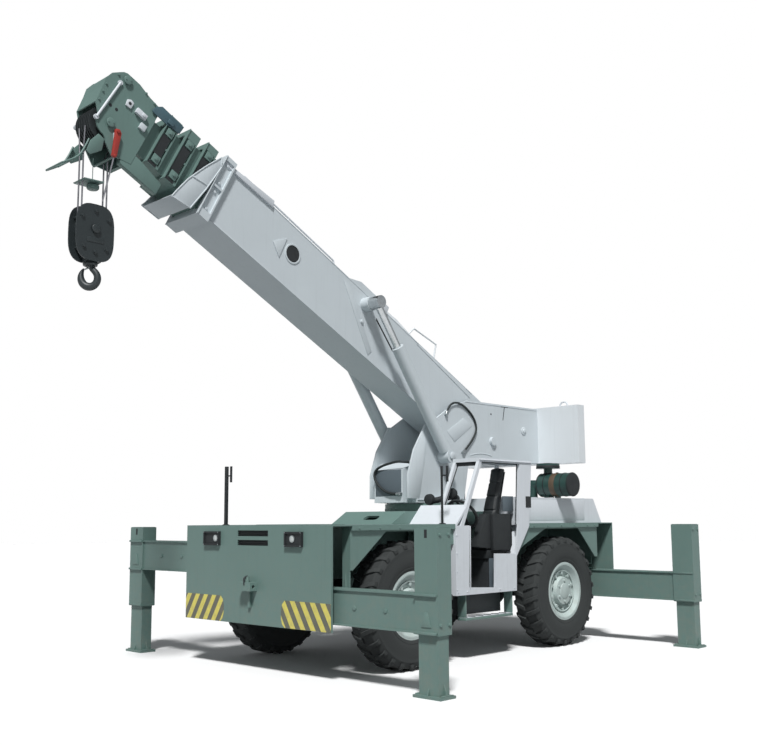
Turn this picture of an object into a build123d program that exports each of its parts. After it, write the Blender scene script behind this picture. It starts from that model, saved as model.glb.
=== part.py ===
from build123d import *
import os
from math import cos, pi, radians, sin, tan

# Mobile crane: a low industrial crane on steered wheels, with a cab fixed beside its turret.
# Sizes in millimetres. X points to the vehicle's left, Y to its rear and Z up. While the pieces are
# made, Y is 0 near the middle of the wheelbase and Z is 0 on the ground. The whole is then moved along Y,
# so that the origin lies on the ground at the middle of the crane's box.

# Clearances
FIT = 0.3                 # pin, bearing and guide fits
RUN = 6.0                 # free gap round what slides

# Wheels and axles
WHEELBASE = 2845.0
AXLE_MIDDLE_Y = 122.5
TYRE_DIA = 1354.0
TYRE_WIDTH = 350.0
TYRE_OUTER_X = 1220.0     # outer sidewall
TYRE_BEAD_DIA = 676.0
RIM_WIDTH = 290.0
RIM_FLANGE = 12.0
RIM_WALL = 16.0
HUB_DIA = 330.0
HUB_FACE_IN = 60.0        # dish of the wheel disc behind the outer sidewall
SPINDLE_DIA = 120.0
SPINDLE_END_X = 1132.0
KINGPIN_X = 1000.0
KINGPIN_DIA = 60.0
KNUCKLE_DIA = 130.0
KNUCKLE_HALF = 92.0       # half height of the knuckle block
EAR_THICK = 40.0          # the axle's ears above and below the knuckle
EAR_WIDTH = 120.0
ARM_THICK = 28.0
ARM_BACK = 250.0          # steering arm's eye behind the kingpin
ARM_IN = 260.0            # and inside it
AXLE_TUBE_DIA = 200.0
BANJO_DIA = 430.0
TIE_ROD_DIA = 50.0
TIE_ROD_BOSS = 60.0

# Chassis
RAIL_OUTER_X = 420.0
RAIL_WALL = 25.0
RAIL_BOTTOM_Z = 940.0
DECK_Z = 1525.0           # top of the decks
DECK_WALL = 12.0
BODY_HALF_WIDTH = 1210.0
CROSS_WALL = 20.0
SKIRT_INSET = 30.0        # the fenders' skirts behind the decks' edge bands
BAND_HEIGHT = 55.0
FRONT_OVERHANG = 165.0    # front face ahead of the jacks
FRONT_PLATE_THICK = 22.0
FRONT_PLATE_BOTTOM_Z = 490.0
REAR_OVERHANG = 225.0

TOW_BODY_X = (-136.0, 67.0)
TOW_BODY_Z = (840.0, 930.0)
TOW_REACH = 95.0
TOW_EYE_DIA = 38.0

# Outriggers: the left beams run in the lower tubes and the right beams in the upper ones
JACK_X = 2377.0
JACK_AHEAD = 1022.0       # front jacks ahead of the front axle
JACK_BEHIND = 942.0       # rear jacks behind the rear axle
COLUMN_DEPTH = 190.0
COLUMN_WIDTH = 275.0
COLUMN_WALL = 16.0
COLUMN_BOTTOM_Z = 550.0
COLUMN_TOP_Z = 1500.0
BEAM_DEPTH = 190.0
BEAM_HEIGHT = 350.0
BEAM_WALL = 14.0
BEAM_LIP = 18.0           # the beam's top and bottom plates stand out beside its webs
BEAM_LENGTH = 1880.0
LOW_BEAM_Z = 560.0        # underside of the left beams
HIGH_BEAM_Z = 990.0       # underside of the right beams
HOUSING_WALL = 10.0
HOUSING_HALF = 940.0
LEG_WIDTH = 235.0
LEG_DEPTH = 140.0
LEG_WALL = 14.0
LEG_IN_COLUMN = 780.0
FOOT_WIDTH = 330.0
FOOT_DEPTH = 210.0
FOOT_THICK = 25.0
LEG_STROKE = 420.0

# Turntable and turret
SLEW_Y = 300.0
RING_DIA = 1060.0
PEDESTAL_HALF = 500.0
PEDESTAL_FRONT_Y = -642.0
PEDESTAL_TOE_Y = -887.0
PEDESTAL_REAR_Y = 1180.0
PEDESTAL_Z = 1675.0
RING_TOP_Z = 1770.0
TURRET_FLOOR_Z = 1782.0
TURRET_FLOOR_THICK = 30.0
PLATE_INNER_X = 300.0
PLATE_THICK = 25.0
TAIL_BOTTOM_Z = 2330.0
TAIL_TOP_Z = 3105.0
TAIL_REAR_Y = 2300.0
TAIL_FLOOR_Y = 1500.0     # the tail's floor starts behind the boom's foot
NOSE_HALF = 238.0
NOSE_Y = -405.0
COUNTERWEIGHT_HALF = 990.0
COUNTERWEIGHT_THICK = 210.0
COUNTERWEIGHT_TOP_Z = 3120.0
WINCH_Y = 1960.0
WINCH_Z = 2780.0
DRUM_DIA = 300.0
DRUM_FLANGE_DIA = 460.0

# Hoses: corners of their routes and the radius at each
HOSE_FITTING_DIA = 36.0
SIDE_HOSE_DIA = 26.0
SIDE_HOSE_ROUTE = ((300.0, 2885.0), (360.0, 3045.0), (620.0, 3060.0), (900.0, 2860.0), (900.0, 2640.0),
                   (622.0, 2423.0))
SIDE_HOSE_RADII = (120.0, 200.0, 200.0, 150.0)
NOSE_HOSE_DIA = 31.0
NOSE_HOSE_ROUTE = ((275.0, -275.0, 2265.0), (275.0, 2268.0), (150.0, 2278.0), (-175.0, 2215.0), (-235.0, 2100.0),
                   (-120.0, 1960.0), (60.0, 1880.0), (215.0, 1886.0))
NOSE_HOSE_RADII = (50.0, 200.0, 100.0, 110.0, 200.0, 150.0)

# Boom: s runs from the foot pin to the head, n at right angles and up
PIVOT_Y = 1250.0
PIVOT_Z = 2600.0
BOOM_ANGLE = 27.5
PIVOT_DIA = 110.0
BOOM_REAR_S = -200.0
BOOM_HEEL = (260.0, -60.0)  # the sloping cut at the lower rear corner, along s and up to this n
# half width, underside n, top n, wall, front end s, and how far the front collar stands out at the
# sides, above and below
SECTIONS = (
    (240.0, -285.0, 410.0, 12.0, 5160.0, 45.0, 40.0, 60.0),
    (210.0, -258.0, 362.0, 10.0, 5390.0, 28.0, 75.0, 12.0),
    (182.0, -234.0, 318.0, 9.0, 5620.0, 34.0, 100.0, 12.0),
    (155.0, -212.0, 276.0, 8.0, 5850.0, 38.0, 126.0, 10.0),
    (129.0, -192.0, 236.0, 8.0, 6080.0, 0.0, 0.0, 0.0),
)
SECTION_REAR_S = 430.0
SECTION_REAR_STEP = 90.0
COLLAR_LENGTH = 150.0
PAD_LENGTH = 120.0

# Lift cylinders
LIFT_X = 436.0
LIFT_PIN_Y = 200.0
LIFT_PIN_Z = 2355.0
LIFT_EYE_S = 2721.0
LIFT_EYE_N = 280.0
BARREL_DIA = 150.0
BARREL_LENGTH = 1540.0
BARREL_WALL = 14.0
BARREL_START = 84.0       # round tube, from the lower pin
BARREL_NECK_DIA = 110.0
BARREL_FLOOR = 100.0      # floor of the bore, from the lower pin
GLAND_LENGTH = 55.0
PISTON_PLACE = 574.0      # from the lower pin
PISTON_LENGTH = 40.0
ROD_DIA = 85.0
LIFT_PIN_DIA = 70.0
LIFT_LUG_X = 358.0        # outer face of the turret's and the boom's lugs

# Boom head and hook
HEAD_HALF = 185.0
HEAD_WALL = 16.0
HEAD_CHEEK_DIA = 292.0    # the side plates' round part about the lower sheaves
HEAD_OUTLINE = (
    (5960.0, -370.0), (6120.0, -420.0), (6200.0, -400.0), (6333.0, -316.0), (6479.0, -170.0), (6552.0, -84.0),
    (6571.0, 100.0), (6587.0, 194.0), (6560.0, 290.0), (6503.0, 356.0), (6470.0, 392.0), (6432.0, 410.0),
    (6278.0, 413.0), (6128.0, 380.0), (5990.0, 368.0), (5960.0, 190.0),
)
HEAD_COVER = ((6540.0, -84.0), (6552.0, -84.0), (6571.0, 100.0), (6587.0, 194.0), (6566.0, 262.0),
              (6554.0, 258.0), (6575.0, 194.0), (6559.0, 101.0))
HEAD_SHEAVE_S = 6333.0
HEAD_SHEAVE_N = -170.0
HEAD_SHEAVE_DIA = 380.0
TOP_SHEAVE_S = 6400.0
TOP_SHEAVE_N = 340.0
TOP_SHEAVE_DIA = 240.0
SHEAVE_WIDTH = 46.0
SHEAVE_GROOVE = 22.0
HEAD_PIN_DIA = 70.0
ROPE_DIA = 16.0
FALL_SPREAD = 260.0       # between the front and the rear falls
FALL_PITCH = 70.0         # between falls side by side
HOOK_Y = -4500.0
HOOK_PIVOT_Z = 5050.0     # where the falls leave the head
GUARD_DIA = 24.0
BLOCK_TOP_Z = 4577.0
BLOCK_BOTTOM_Z = 4020.0
BLOCK_WIDTH = 400.0
BLOCK_THICK = 155.0
BLOCK_CHEEK = 14.0
BLOCK_SHEAVE_DIA = 300.0
BLOCK_SHEAVE_Z = 4335.0
BLOCK_CORNER = 0.62       # 1 gives the cheeks an oval outline, and less a fuller one
HOOK_BOTTOM_Z = 3750.0
HOOK_DIA = 256.0
HOOK_EYE_DIA = 112.0
HOOK_EYE_OFFSET = 20.0    # the eye is off the middle, towards the back of the hook
HOOK_THICK = 56.0
HOOK_TURN = 44.1          # the hook's plane stands at this angle to X
HOOK_THROAT = 46.0
HOOK_SHANK_DIA = 60.0

# Cab
CAB_BEHIND_AXLE = 706.0   # front wall behind the front axle
CAB_INNER_X = 500.0
CAB_WALL = 24.0
CAB_BOTTOM_Z = 735.0
CAB_SILL_Z = 1507.0
CAB_LOW_REAR_Y = 525.0
CAB_KNEE_Y = 538.0        # the rear wall stands upright below this point and leans back above it
CAB_KNEE_Z = 1137.0
CAB_TAIL_Y = 806.0
CAB_TAIL_Z = 1493.0
CAB_ROOF_REAR_Y = 875.0
STEP_X = (1060.0, 1170.0)
STEP_Y = (-390.0, 480.0)
STEP_Z = 450.0
CAB_ROOF_Z = 2285.0
CAB_ROOF_INNER_X = 815.0
POST = 42.0
HOOD_TOP_Z = 1845.0
HOOD_FRONT_Y = 700.0
HOOD_REAR_SLOPE = 190.0   # the hood's rear face leans forward by this
HOOD_HALF = 1050.0
HOOD_WALL = 30.0
HOOD_NOTCH_X = 790.0      # the hood is notched to let the turret turn
HOOD_NOTCH_Y = 1190.0

# Derived places
WHEEL_Z = TYRE_DIA / 2
AXLE_Y = {-1: AXLE_MIDDLE_Y - WHEELBASE / 2, 1: AXLE_MIDDLE_Y + WHEELBASE / 2}
JACK_FRONT_Y = AXLE_Y[-1] - JACK_AHEAD
JACK_REAR_Y = AXLE_Y[1] + JACK_BEHIND
FRONT_FACE_Y = JACK_FRONT_Y - FRONT_OVERHANG
REAR_FACE_Y = JACK_REAR_Y + REAR_OVERHANG
CAB_FRONT_Y = AXLE_Y[-1] + CAB_BEHIND_AXLE
HOOD_REAR_LOW_Y = REAR_FACE_Y - 12.0
HOOD_REAR_TOP_Y = HOOD_REAR_LOW_Y - HOOD_REAR_SLOPE
CAB_OUTER_X = BODY_HALF_WIDTH
TOW_EYE_Y = FRONT_FACE_Y - 50.0
HOUSING_FRONT_Y = JACK_FRONT_Y - BEAM_DEPTH / 2 - RUN - HOUSING_WALL
HOUSING_REAR_Y = JACK_REAR_Y + BEAM_DEPTH / 2 + RUN + HOUSING_WALL
FRAME_FRONT_Y = JACK_FRONT_Y + BEAM_DEPTH / 2 + RUN + HOUSING_WALL
FRAME_REAR_Y = JACK_REAR_Y - BEAM_DEPTH / 2 - RUN - HOUSING_WALL
FENDER_FRONT_Y = FRAME_FRONT_Y + 12.0
FENDER_REAR_Y = FRAME_REAR_Y - 12.0
VENTS = ((1311.0, 1369.0), (1409.0, 1470.0))
VENT_X = (-275.0, 238.0)
RAIL_TOP_Z = DECK_Z - DECK_WALL
ARM_Z = WHEEL_Z + KNUCKLE_HALF + RUN + EAR_THICK + FIT
LAMP_X = ((-853.0, -575.0), (533.0, 796.0))
LAMP_Z = (1307.0, 1459.0)
CORNERS = (("front_left", 1, -1), ("front_right", -1, -1), ("rear_left", 1, 1), ("rear_right", -1, 1))


def block(x, y, z):
    """A box between the planes x[0] and x[1], y[0] and y[1], z[0] and z[1]."""
    size = Box(abs(x[1] - x[0]), abs(y[1] - y[0]), abs(z[1] - z[0]))
    return Pos((x[0] + x[1]) / 2, (y[0] + y[1]) / 2, (z[0] + z[1]) / 2) * size


def side_plate(points, x):
    """A plate with its outline given as (y, z) points, between two planes across X."""
    outline = Polyline([(x[0], y, z) for y, z in points], close=True)
    return extrude(make_face(outline), amount=abs(x[1] - x[0]), dir=(1 if x[1] > x[0] else -1, 0, 0))


def floor_plate(points, z):
    """A plate with its outline given as (x, y) points, between two heights."""
    outline = Polyline([(x, y, z[0]) for x, y in points], close=True)
    return extrude(make_face(outline), amount=z[1] - z[0], dir=(0, 0, 1))


def bar(start, end, diameter):
    """A round bar between two points."""
    a, b = Vector(start), Vector(end)
    stand = (Align.CENTER, Align.CENTER, Align.MIN)
    return Plane(origin=a, z_dir=b - a) * Cylinder(diameter / 2, (b - a).length, align=stand)


def cross_bar(y, z, x, diameter):
    """A round bar along X."""
    return bar((x[0], y, z), (x[1], y, z), diameter)


def upright(x, y, z, diameter):
    """A round bar along Z."""
    return bar((x, y, z[0]), (x, y, z[1]), diameter)


def both_sides(shape):
    """A shape and its mirror image on the other side of the vehicle."""
    return [shape, mirror(shape, Plane.YZ)]


def join(*shapes):
    """One shape from several that touch."""
    flat = []
    for shape in shapes:
        flat.extend(shape if isinstance(shape, list) else [shape])
    result = flat[0]
    for shape in flat[1:]:
        result = result + shape
    return result


def turn_about_x(points, y, z):
    """A solid turned about a line along X at (y, z) from (x, radius) points."""
    outline = Polyline([(x, y, z + r) for x, r in points], close=True)
    return revolve(make_face(outline), Axis((0, y, z), (1, 0, 0)), 360)


def hose(points, radii, diameter):
    """A hose of straight runs joined by tangent arcs, with one radius for each corner."""
    places = [Vector(*point) for point in points]
    edges = []
    start = places[0]
    for before, corner, after, radius in zip(places, places[1:], places[2:], radii):
        back = (before - corner).normalized()
        ahead = (after - corner).normalized()
        half = radians(back.get_angle(ahead) / 2)
        reach = radius / tan(half)
        towards = (back + ahead).normalized()
        middle = corner + towards * (radius / sin(half) - radius)
        edges.append(Line(start, corner + back * reach))
        edges.append(ThreePointArc(corner + back * reach, middle, corner + ahead * reach))
        start = corner + ahead * reach
    edges.append(Line(start, places[-1]))
    end = Plane(origin=places[0], z_dir=places[1] - places[0])
    return sweep(end * Circle(diameter / 2), path=Wire(edges))


# Boom frame
SLOPE = radians(BOOM_ANGLE)
BOOM_PLANE = Plane(origin=(0, PIVOT_Y, PIVOT_Z), x_dir=(0, -cos(SLOPE), sin(SLOPE)), z_dir=(-1, 0, 0))


def boom_point(s, n, x=0.0):
    """The place of a boom point while the boom stands at its parked angle."""
    y = PIVOT_Y - s * cos(SLOPE) + n * sin(SLOPE)
    return (x, y, PIVOT_Z + s * sin(SLOPE) + n * cos(SLOPE))


def boom_block(s, n, x):
    """A box along the boom, between s, n and x limits."""
    size = Box(s[1] - s[0], n[1] - n[0], x[1] - x[0])
    return BOOM_PLANE * (Pos((s[0] + s[1]) / 2, (n[0] + n[1]) / 2, -(x[0] + x[1]) / 2) * size)


def boom_plate(points, x):
    """A plate beside the boom with its outline given as (s, n) points."""
    outline = Polyline([(s, n, -x[0]) for s, n in points], close=True)
    raised = extrude(make_face(outline), amount=x[1] - x[0], dir=(0, 0, -1))
    return BOOM_PLANE * raised


# Chassis
def chassis_frame():
    rail = block((RAIL_OUTER_X - RAIL_WALL, RAIL_OUTER_X), (FRAME_FRONT_Y, FRAME_REAR_Y),
                 (RAIL_BOTTOM_Z, DECK_Z - DECK_WALL))
    lower = block((RAIL_OUTER_X - 110, RAIL_OUTER_X - RAIL_WALL), (FRAME_FRONT_Y, FRAME_REAR_Y),
                  (RAIL_BOTTOM_Z, RAIL_BOTTOM_Z + RAIL_WALL))
    seat_z = WHEEL_Z + AXLE_TUBE_DIA / 2
    saddles = []
    for y in AXLE_Y.values():
        saddles += both_sides(block((RAIL_OUTER_X - 110, RAIL_OUTER_X), (y - 90, y + 90),
                                    (seat_z, RAIL_BOTTOM_Z)))
    across = (-RAIL_OUTER_X + RAIL_WALL, RAIL_OUTER_X - RAIL_WALL)
    walls = []
    for y in (FRAME_FRONT_Y + CROSS_WALL / 2, -620, 620, FRAME_REAR_Y - CROSS_WALL / 2):
        walls.append(block(across, (y - CROSS_WALL / 2, y + CROSS_WALL / 2),
                           (RAIL_BOTTOM_Z, DECK_Z - DECK_WALL)))
    return join(both_sides(rail), both_sides(lower), saddles, walls)


def turntable_base():
    """The raised pedestal under the turret, its sloping front with an oval hole, and the ring."""
    outline = ((PEDESTAL_TOE_Y, RAIL_TOP_Z), (PEDESTAL_TOE_Y, DECK_Z), (PEDESTAL_FRONT_Y, PEDESTAL_Z),
               (PEDESTAL_REAR_Y, PEDESTAL_Z), (PEDESTAL_REAR_Y, RAIL_TOP_Z))
    body = side_plate(outline, (-PEDESTAL_HALF, PEDESTAL_HALF))
    wall = 14.0
    inside = ((PEDESTAL_TOE_Y + 50, RAIL_TOP_Z), (PEDESTAL_FRONT_Y + wall, PEDESTAL_Z - wall),
              (PEDESTAL_REAR_Y - wall, PEDESTAL_Z - wall), (PEDESTAL_REAR_Y - wall, RAIL_TOP_Z))
    body -= side_plate(inside, (-PEDESTAL_HALF + wall, PEDESTAL_HALF - wall))
    slope = Plane(origin=(60, (PEDESTAL_TOE_Y + PEDESTAL_FRONT_Y) / 2, (DECK_Z + PEDESTAL_Z) / 2),
                  x_dir=(1, 0, 0), z_dir=(0, DECK_Z - PEDESTAL_Z, PEDESTAL_FRONT_Y - PEDESTAL_TOE_Y))
    body -= slope * extrude(SlotOverall(240, 90), amount=60, both=True)
    ring = upright(0, SLEW_Y, (PEDESTAL_Z, RING_TOP_Z), RING_DIA)
    ring -= upright(0, SLEW_Y, (PEDESTAL_Z, RING_TOP_Z), RING_DIA - 260)
    return body + ring


def front_plate():
    face = (FRONT_FACE_Y, FRONT_FACE_Y + FRONT_PLATE_THICK)
    plate = block((-BODY_HALF_WIDTH, BODY_HALF_WIDTH), face, (FRONT_PLATE_BOTTOM_Z, DECK_Z))
    for z in VENTS:
        plate -= block(VENT_X, face, z)
    webs = both_sides(block((560, 600), (face[1], HOUSING_FRONT_Y), (620, 1300)))
    low, high = TOW_BODY_Z
    body = block(TOW_BODY_X, (FRONT_FACE_Y - TOW_REACH, FRONT_FACE_Y), TOW_BODY_Z)
    body -= cross_bar(TOW_EYE_Y, (low + high) / 2, TOW_BODY_X, TOW_EYE_DIA)
    middle = (TOW_BODY_X[0] + TOW_BODY_X[1]) / 2
    pin = upright(middle, TOW_EYE_Y, (high, high + 60), 44)
    tongue = block((middle - 16, middle + 16), (FRONT_FACE_Y - 30, FRONT_FACE_Y), (low - 174, low))
    return join(plate, webs, body, pin, tongue)


def outrigger_housings():
    solids = []
    for y in (JACK_FRONT_Y, JACK_REAR_Y):
        for z in (LOW_BEAM_Z, HIGH_BEAM_Z):
            depth = BEAM_DEPTH / 2 + RUN
            outer = block((-HOUSING_HALF, HOUSING_HALF), (y - depth - HOUSING_WALL, y + depth + HOUSING_WALL),
                          (z - RUN - HOUSING_WALL, z + BEAM_HEIGHT + RUN + HOUSING_WALL))
            outer -= block((-HOUSING_HALF, HOUSING_HALF), (y - depth, y + depth),
                           (z - RUN, z + BEAM_HEIGHT + RUN))
            side = 1 if z == LOW_BEAM_Z else -1
            for x in (HOUSING_HALF - 80, 380):
                low = block((side * x - 60, side * x + 60), (y - 60, y + 60), (z - RUN, z - FIT))
                high = block((side * x - 60, side * x + 60), (y - 60, y + 60),
                             (z + BEAM_HEIGHT + FIT, z + BEAM_HEIGHT + RUN))
                outer = outer + low + high
            solids.append(outer)
        gap = (LOW_BEAM_Z + BEAM_HEIGHT + RUN + HOUSING_WALL, HIGH_BEAM_Z - RUN - HOUSING_WALL)
        for x in (-700, 0, 700):
            solids.append(block((x - 60, x + 60), (y - 60, y + 60), gap))
    return join(solids)


def beam(side, y):
    """An outrigger beam with its jack column; side is 1 on the left and -1 on the right."""
    z = LOW_BEAM_Z if side > 0 else HIGH_BEAM_Z
    x = JACK_X - COLUMN_WIDTH / 2
    along = (side * (x - BEAM_LENGTH), side * x)
    half = BEAM_DEPTH / 2
    webs = half - BEAM_LIP
    inner_z = (z + BEAM_WALL, z + BEAM_HEIGHT - BEAM_WALL)
    tube = block(along, (y - half, y + half), (z, z + BEAM_HEIGHT))
    tube -= block(along, (y - webs + BEAM_WALL, y + webs - BEAM_WALL), inner_z)
    tube -= block(along, (y - half, y - webs), inner_z)
    tube -= block(along, (y + webs, y + half), inner_z)
    column = block((side * x, side * (x + COLUMN_WIDTH)), (y - COLUMN_DEPTH / 2, y + COLUMN_DEPTH / 2),
                   (COLUMN_BOTTOM_Z, COLUMN_TOP_Z))
    column -= leg_block(side, y, RUN, (COLUMN_BOTTOM_Z, COLUMN_TOP_Z - COLUMN_WALL))
    guide_z = (COLUMN_BOTTOM_Z, COLUMN_BOTTOM_Z + 90)
    guide = leg_block(side, y, RUN, guide_z) - leg_block(side, y, FIT, guide_z)
    return tube + column + guide


def leg_block(side, y, gap, z):
    """The jack leg's outline with a gap all round it, or inside it if the gap is below zero."""
    half_x = LEG_WIDTH / 2 + gap
    half_y = LEG_DEPTH / 2 + gap
    return block((side * JACK_X - half_x, side * JACK_X + half_x), (y - half_y, y + half_y), z)


def leg(side, y):
    x = side * JACK_X
    top = COLUMN_BOTTOM_Z + LEG_IN_COLUMN - LEG_STROKE
    tube = leg_block(side, y, 0, (FOOT_THICK, top)) - leg_block(side, y, -LEG_WALL, (FOOT_THICK + 20, top))
    foot = block((x - FOOT_WIDTH / 2, x + FOOT_WIDTH / 2), (y - FOOT_DEPTH / 2, y + FOOT_DEPTH / 2),
                 (0, FOOT_THICK))
    return tube + foot


def front_deck():
    half = BODY_HALF_WIDTH
    front = FRONT_FACE_Y + FRONT_PLATE_THICK
    outline = ((-half, front), (half, front), (half, CAB_FRONT_Y), (PEDESTAL_HALF, CAB_FRONT_Y),
               (PEDESTAL_HALF, PEDESTAL_TOE_Y), (-PEDESTAL_HALF, PEDESTAL_TOE_Y), (-PEDESTAL_HALF, CAB_FRONT_Y),
               (-half, CAB_FRONT_Y))
    parts = [floor_plate(outline, (DECK_Z - DECK_WALL, DECK_Z))]
    top = DECK_Z - DECK_WALL
    parts += both_sides(block((half - 14, half), (FENDER_FRONT_Y, CAB_FRONT_Y), (DECK_Z - BAND_HEIGHT, top)))
    axle = AXLE_Y[-1]
    skirt = ((FENDER_FRONT_Y, top), (FENDER_FRONT_Y, 1074), (axle - 865, 1074), (axle - 384, 1454),
             (axle + 400, 1454), (axle + 660, 1300), (CAB_FRONT_Y, 1300), (CAB_FRONT_Y, top))
    outer = half - SKIRT_INSET
    parts += both_sides(side_plate(skirt, (outer - 14, outer)))
    parts += both_sides(block((outer, half - 14), (FENDER_FRONT_Y, CAB_FRONT_Y), (DECK_Z - BAND_HEIGHT, top)))
    strut = block((outer - 115, outer - 14), (FENDER_FRONT_Y, FENDER_FRONT_Y + 14), (870, top))
    parts += both_sides(strut)
    rear = block((PEDESTAL_HALF + 20, outer - 14), (CAB_FRONT_Y - 14, CAB_FRONT_Y), (1300, top))
    parts += both_sides(rear)
    return join(parts)


def rear_deck():
    half = BODY_HALF_WIDTH
    front = CAB_TAIL_Y + RUN
    middle = PEDESTAL_REAR_Y + 10
    inner = PEDESTAL_HALF + 10
    outline = ((-half, REAR_FACE_Y), (half, REAR_FACE_Y), (half, front), (inner, front), (inner, middle),
               (-inner, middle), (-inner, front), (-half, front))
    parts = [floor_plate(outline, (DECK_Z - DECK_WALL, DECK_Z))]
    top = DECK_Z - DECK_WALL
    parts += both_sides(block((half - 14, half), (front, FENDER_REAR_Y), (DECK_Z - BAND_HEIGHT, top)))
    axle = AXLE_Y[1]
    skirt = ((front, top), (front, CAB_TAIL_Z - RUN), (CAB_KNEE_Y + 26, CAB_KNEE_Z + 14),
             (CAB_KNEE_Y + 172, CAB_KNEE_Z + 120), (axle - 367, 1455), (axle + 376, 1455), (axle + 760, 1082),
             (FENDER_REAR_Y, 1082), (FENDER_REAR_Y, top))
    outer = half - SKIRT_INSET
    parts += both_sides(side_plate(skirt, (outer - 14, outer)))
    parts += both_sides(block((outer, half - 14), (front, FENDER_REAR_Y), (DECK_Z - BAND_HEIGHT, top)))
    wall = block((RAIL_OUTER_X, outer - 14), (FENDER_REAR_Y - 14, FENDER_REAR_Y), (1082, top))
    parts += both_sides(wall)
    parts.append(block((-half, half), (REAR_FACE_Y - 14, REAR_FACE_Y), (FRONT_PLATE_BOTTOM_Z + 60, top)))
    parts += both_sides(block((560, 600), (HOUSING_REAR_Y, REAR_FACE_Y - 14), (620, 1300)))
    return join(parts)


def engine_hood():
    outline = ((HOOD_FRONT_Y, DECK_Z), (HOOD_FRONT_Y, HOOD_TOP_Z), (HOOD_REAR_TOP_Y, HOOD_TOP_Z),
               (HOOD_REAR_LOW_Y, DECK_Z))
    shell = side_plate(outline, (-HOOD_HALF, HOOD_HALF))
    shell -= block((-HOOD_NOTCH_X, HOOD_NOTCH_X), (HOOD_FRONT_Y, HOOD_NOTCH_Y), (DECK_Z, HOOD_TOP_Z))
    inner = ((HOOD_FRONT_Y + HOOD_WALL, DECK_Z), (HOOD_FRONT_Y + HOOD_WALL, HOOD_TOP_Z - HOOD_WALL),
             (HOOD_REAR_TOP_Y - HOOD_WALL, HOOD_TOP_Z - HOOD_WALL), (HOOD_REAR_LOW_Y - HOOD_WALL, DECK_Z))
    hollow = side_plate(inner, (-HOOD_HALF + HOOD_WALL, HOOD_HALF - HOOD_WALL))
    hollow -= block((-HOOD_NOTCH_X - HOOD_WALL, HOOD_NOTCH_X + HOOD_WALL),
                    (HOOD_FRONT_Y, HOOD_NOTCH_Y + HOOD_WALL), (DECK_Z, HOOD_TOP_Z))
    return shell - hollow


def engine():
    return block((-330, 330), (PEDESTAL_REAR_Y + 110, FENDER_REAR_Y - 75), (RAIL_BOTTOM_Z + RAIL_WALL, DECK_Z - 25))


def air_cleaner():
    y, z = 1700.0, 2015.0
    can = cross_bar(y, z, (790, 1270), 300)
    cap = upright(890, y, (2230, 2295), 300)
    neck = upright(890, y, (2150, 2235), 110)
    feet = block((860, 930), (y - 60, y + 60), (HOOD_TOP_Z, 1900))
    feet += block((1020, 1040), (y - 60, y + 60), (HOOD_TOP_Z, 1900))
    elbow = bar((650, y, 2030), (800, y, 2030), 110) + upright(650, y, (HOOD_TOP_Z, 2085), 110)
    return join(can, cap, neck, feet, elbow)


def cab_shell():
    """The open cab: a side skin round the doorway, the other walls, a cowl, the posts and the roof."""
    outer = CAB_OUTER_X
    front = CAB_FRONT_Y
    sill = CAB_SILL_Z
    floor_z = (CAB_BOTTOM_Z, CAB_BOTTOM_Z + 30)
    low_rear = (CAB_LOW_REAR_Y, CAB_BOTTOM_Z)
    knee = (CAB_KNEE_Y, CAB_KNEE_Z)
    tail = (CAB_TAIL_Y, CAB_TAIL_Z)
    skin = ((front, sill), (front, CAB_BOTTOM_Z), low_rear, knee, tail, (CAB_TAIL_Y, DECK_Z),
            (588, DECK_Z), (523, 1169), (123, 1180), (110, 792), (front + 230, 816), (front + 250, sill))
    parts = [side_plate(skin, (outer - CAB_WALL, outer))]
    across = (CAB_INNER_X, outer - CAB_WALL)
    parts.append(block(across, (front, CAB_LOW_REAR_Y), floor_z))
    parts.append(block(across, (front, front + CAB_WALL), (floor_z[1], sill)))
    parts.append(block((CAB_INNER_X, CAB_INNER_X + CAB_WALL), (front + CAB_WALL, CAB_LOW_REAR_Y),
                       (floor_z[1], sill)))
    rear = (low_rear, knee, tail, (CAB_TAIL_Y, DECK_Z), (HOOD_FRONT_Y, DECK_Z), (HOOD_FRONT_Y, DECK_Z - 18),
            (CAB_TAIL_Y - 36, DECK_Z - 18), (CAB_KNEE_Y - CAB_WALL, CAB_KNEE_Z + 10),
            (CAB_LOW_REAR_Y - CAB_WALL, CAB_BOTTOM_Z))
    parts.append(side_plate(rear, across))
    cowl = ((front, sill), (front + 30, sill), (front + 244, sill + 223), (front + 219, sill + 235))
    parts.append(side_plate(cowl, (CAB_INNER_X, outer)))
    eaves = CAB_ROOF_Z - 44
    front_post = ((front + 94, sill - 7), (front + 150, sill - 7), (-100, eaves), (-150, eaves))
    for x in (outer - POST, CAB_ROOF_INNER_X):
        parts.append(side_plate(front_post, (x, x + POST)))
    wide = ((588, DECK_Z - 10), (CAB_TAIL_Y, DECK_Z - 10), (CAB_ROOF_REAR_Y, eaves), (635, eaves))
    parts.append(side_plate(wide, (outer - POST, outer)))
    narrow = block((CAB_ROOF_INNER_X, CAB_ROOF_INNER_X + POST), (HOOD_FRONT_Y - POST - 10, HOOD_FRONT_Y - 10),
                   (DECK_Z, eaves))
    back = block((HOOD_NOTCH_X, outer - POST), (HOOD_FRONT_Y - 34, HOOD_FRONT_Y - 10), (DECK_Z - 18, HOOD_TOP_Z))
    parts += [narrow, back]
    roof = block((CAB_ROOF_INNER_X, outer), (-150, CAB_ROOF_REAR_Y), (eaves, CAB_ROOF_Z))
    roof -= block((CAB_ROOF_INNER_X + POST, outer - POST), (-150 + POST, CAB_ROOF_REAR_Y - POST),
                  (eaves, CAB_ROOF_Z - 14))
    parts.append(roof)
    parts += cab_step()
    return join(parts)


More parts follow.
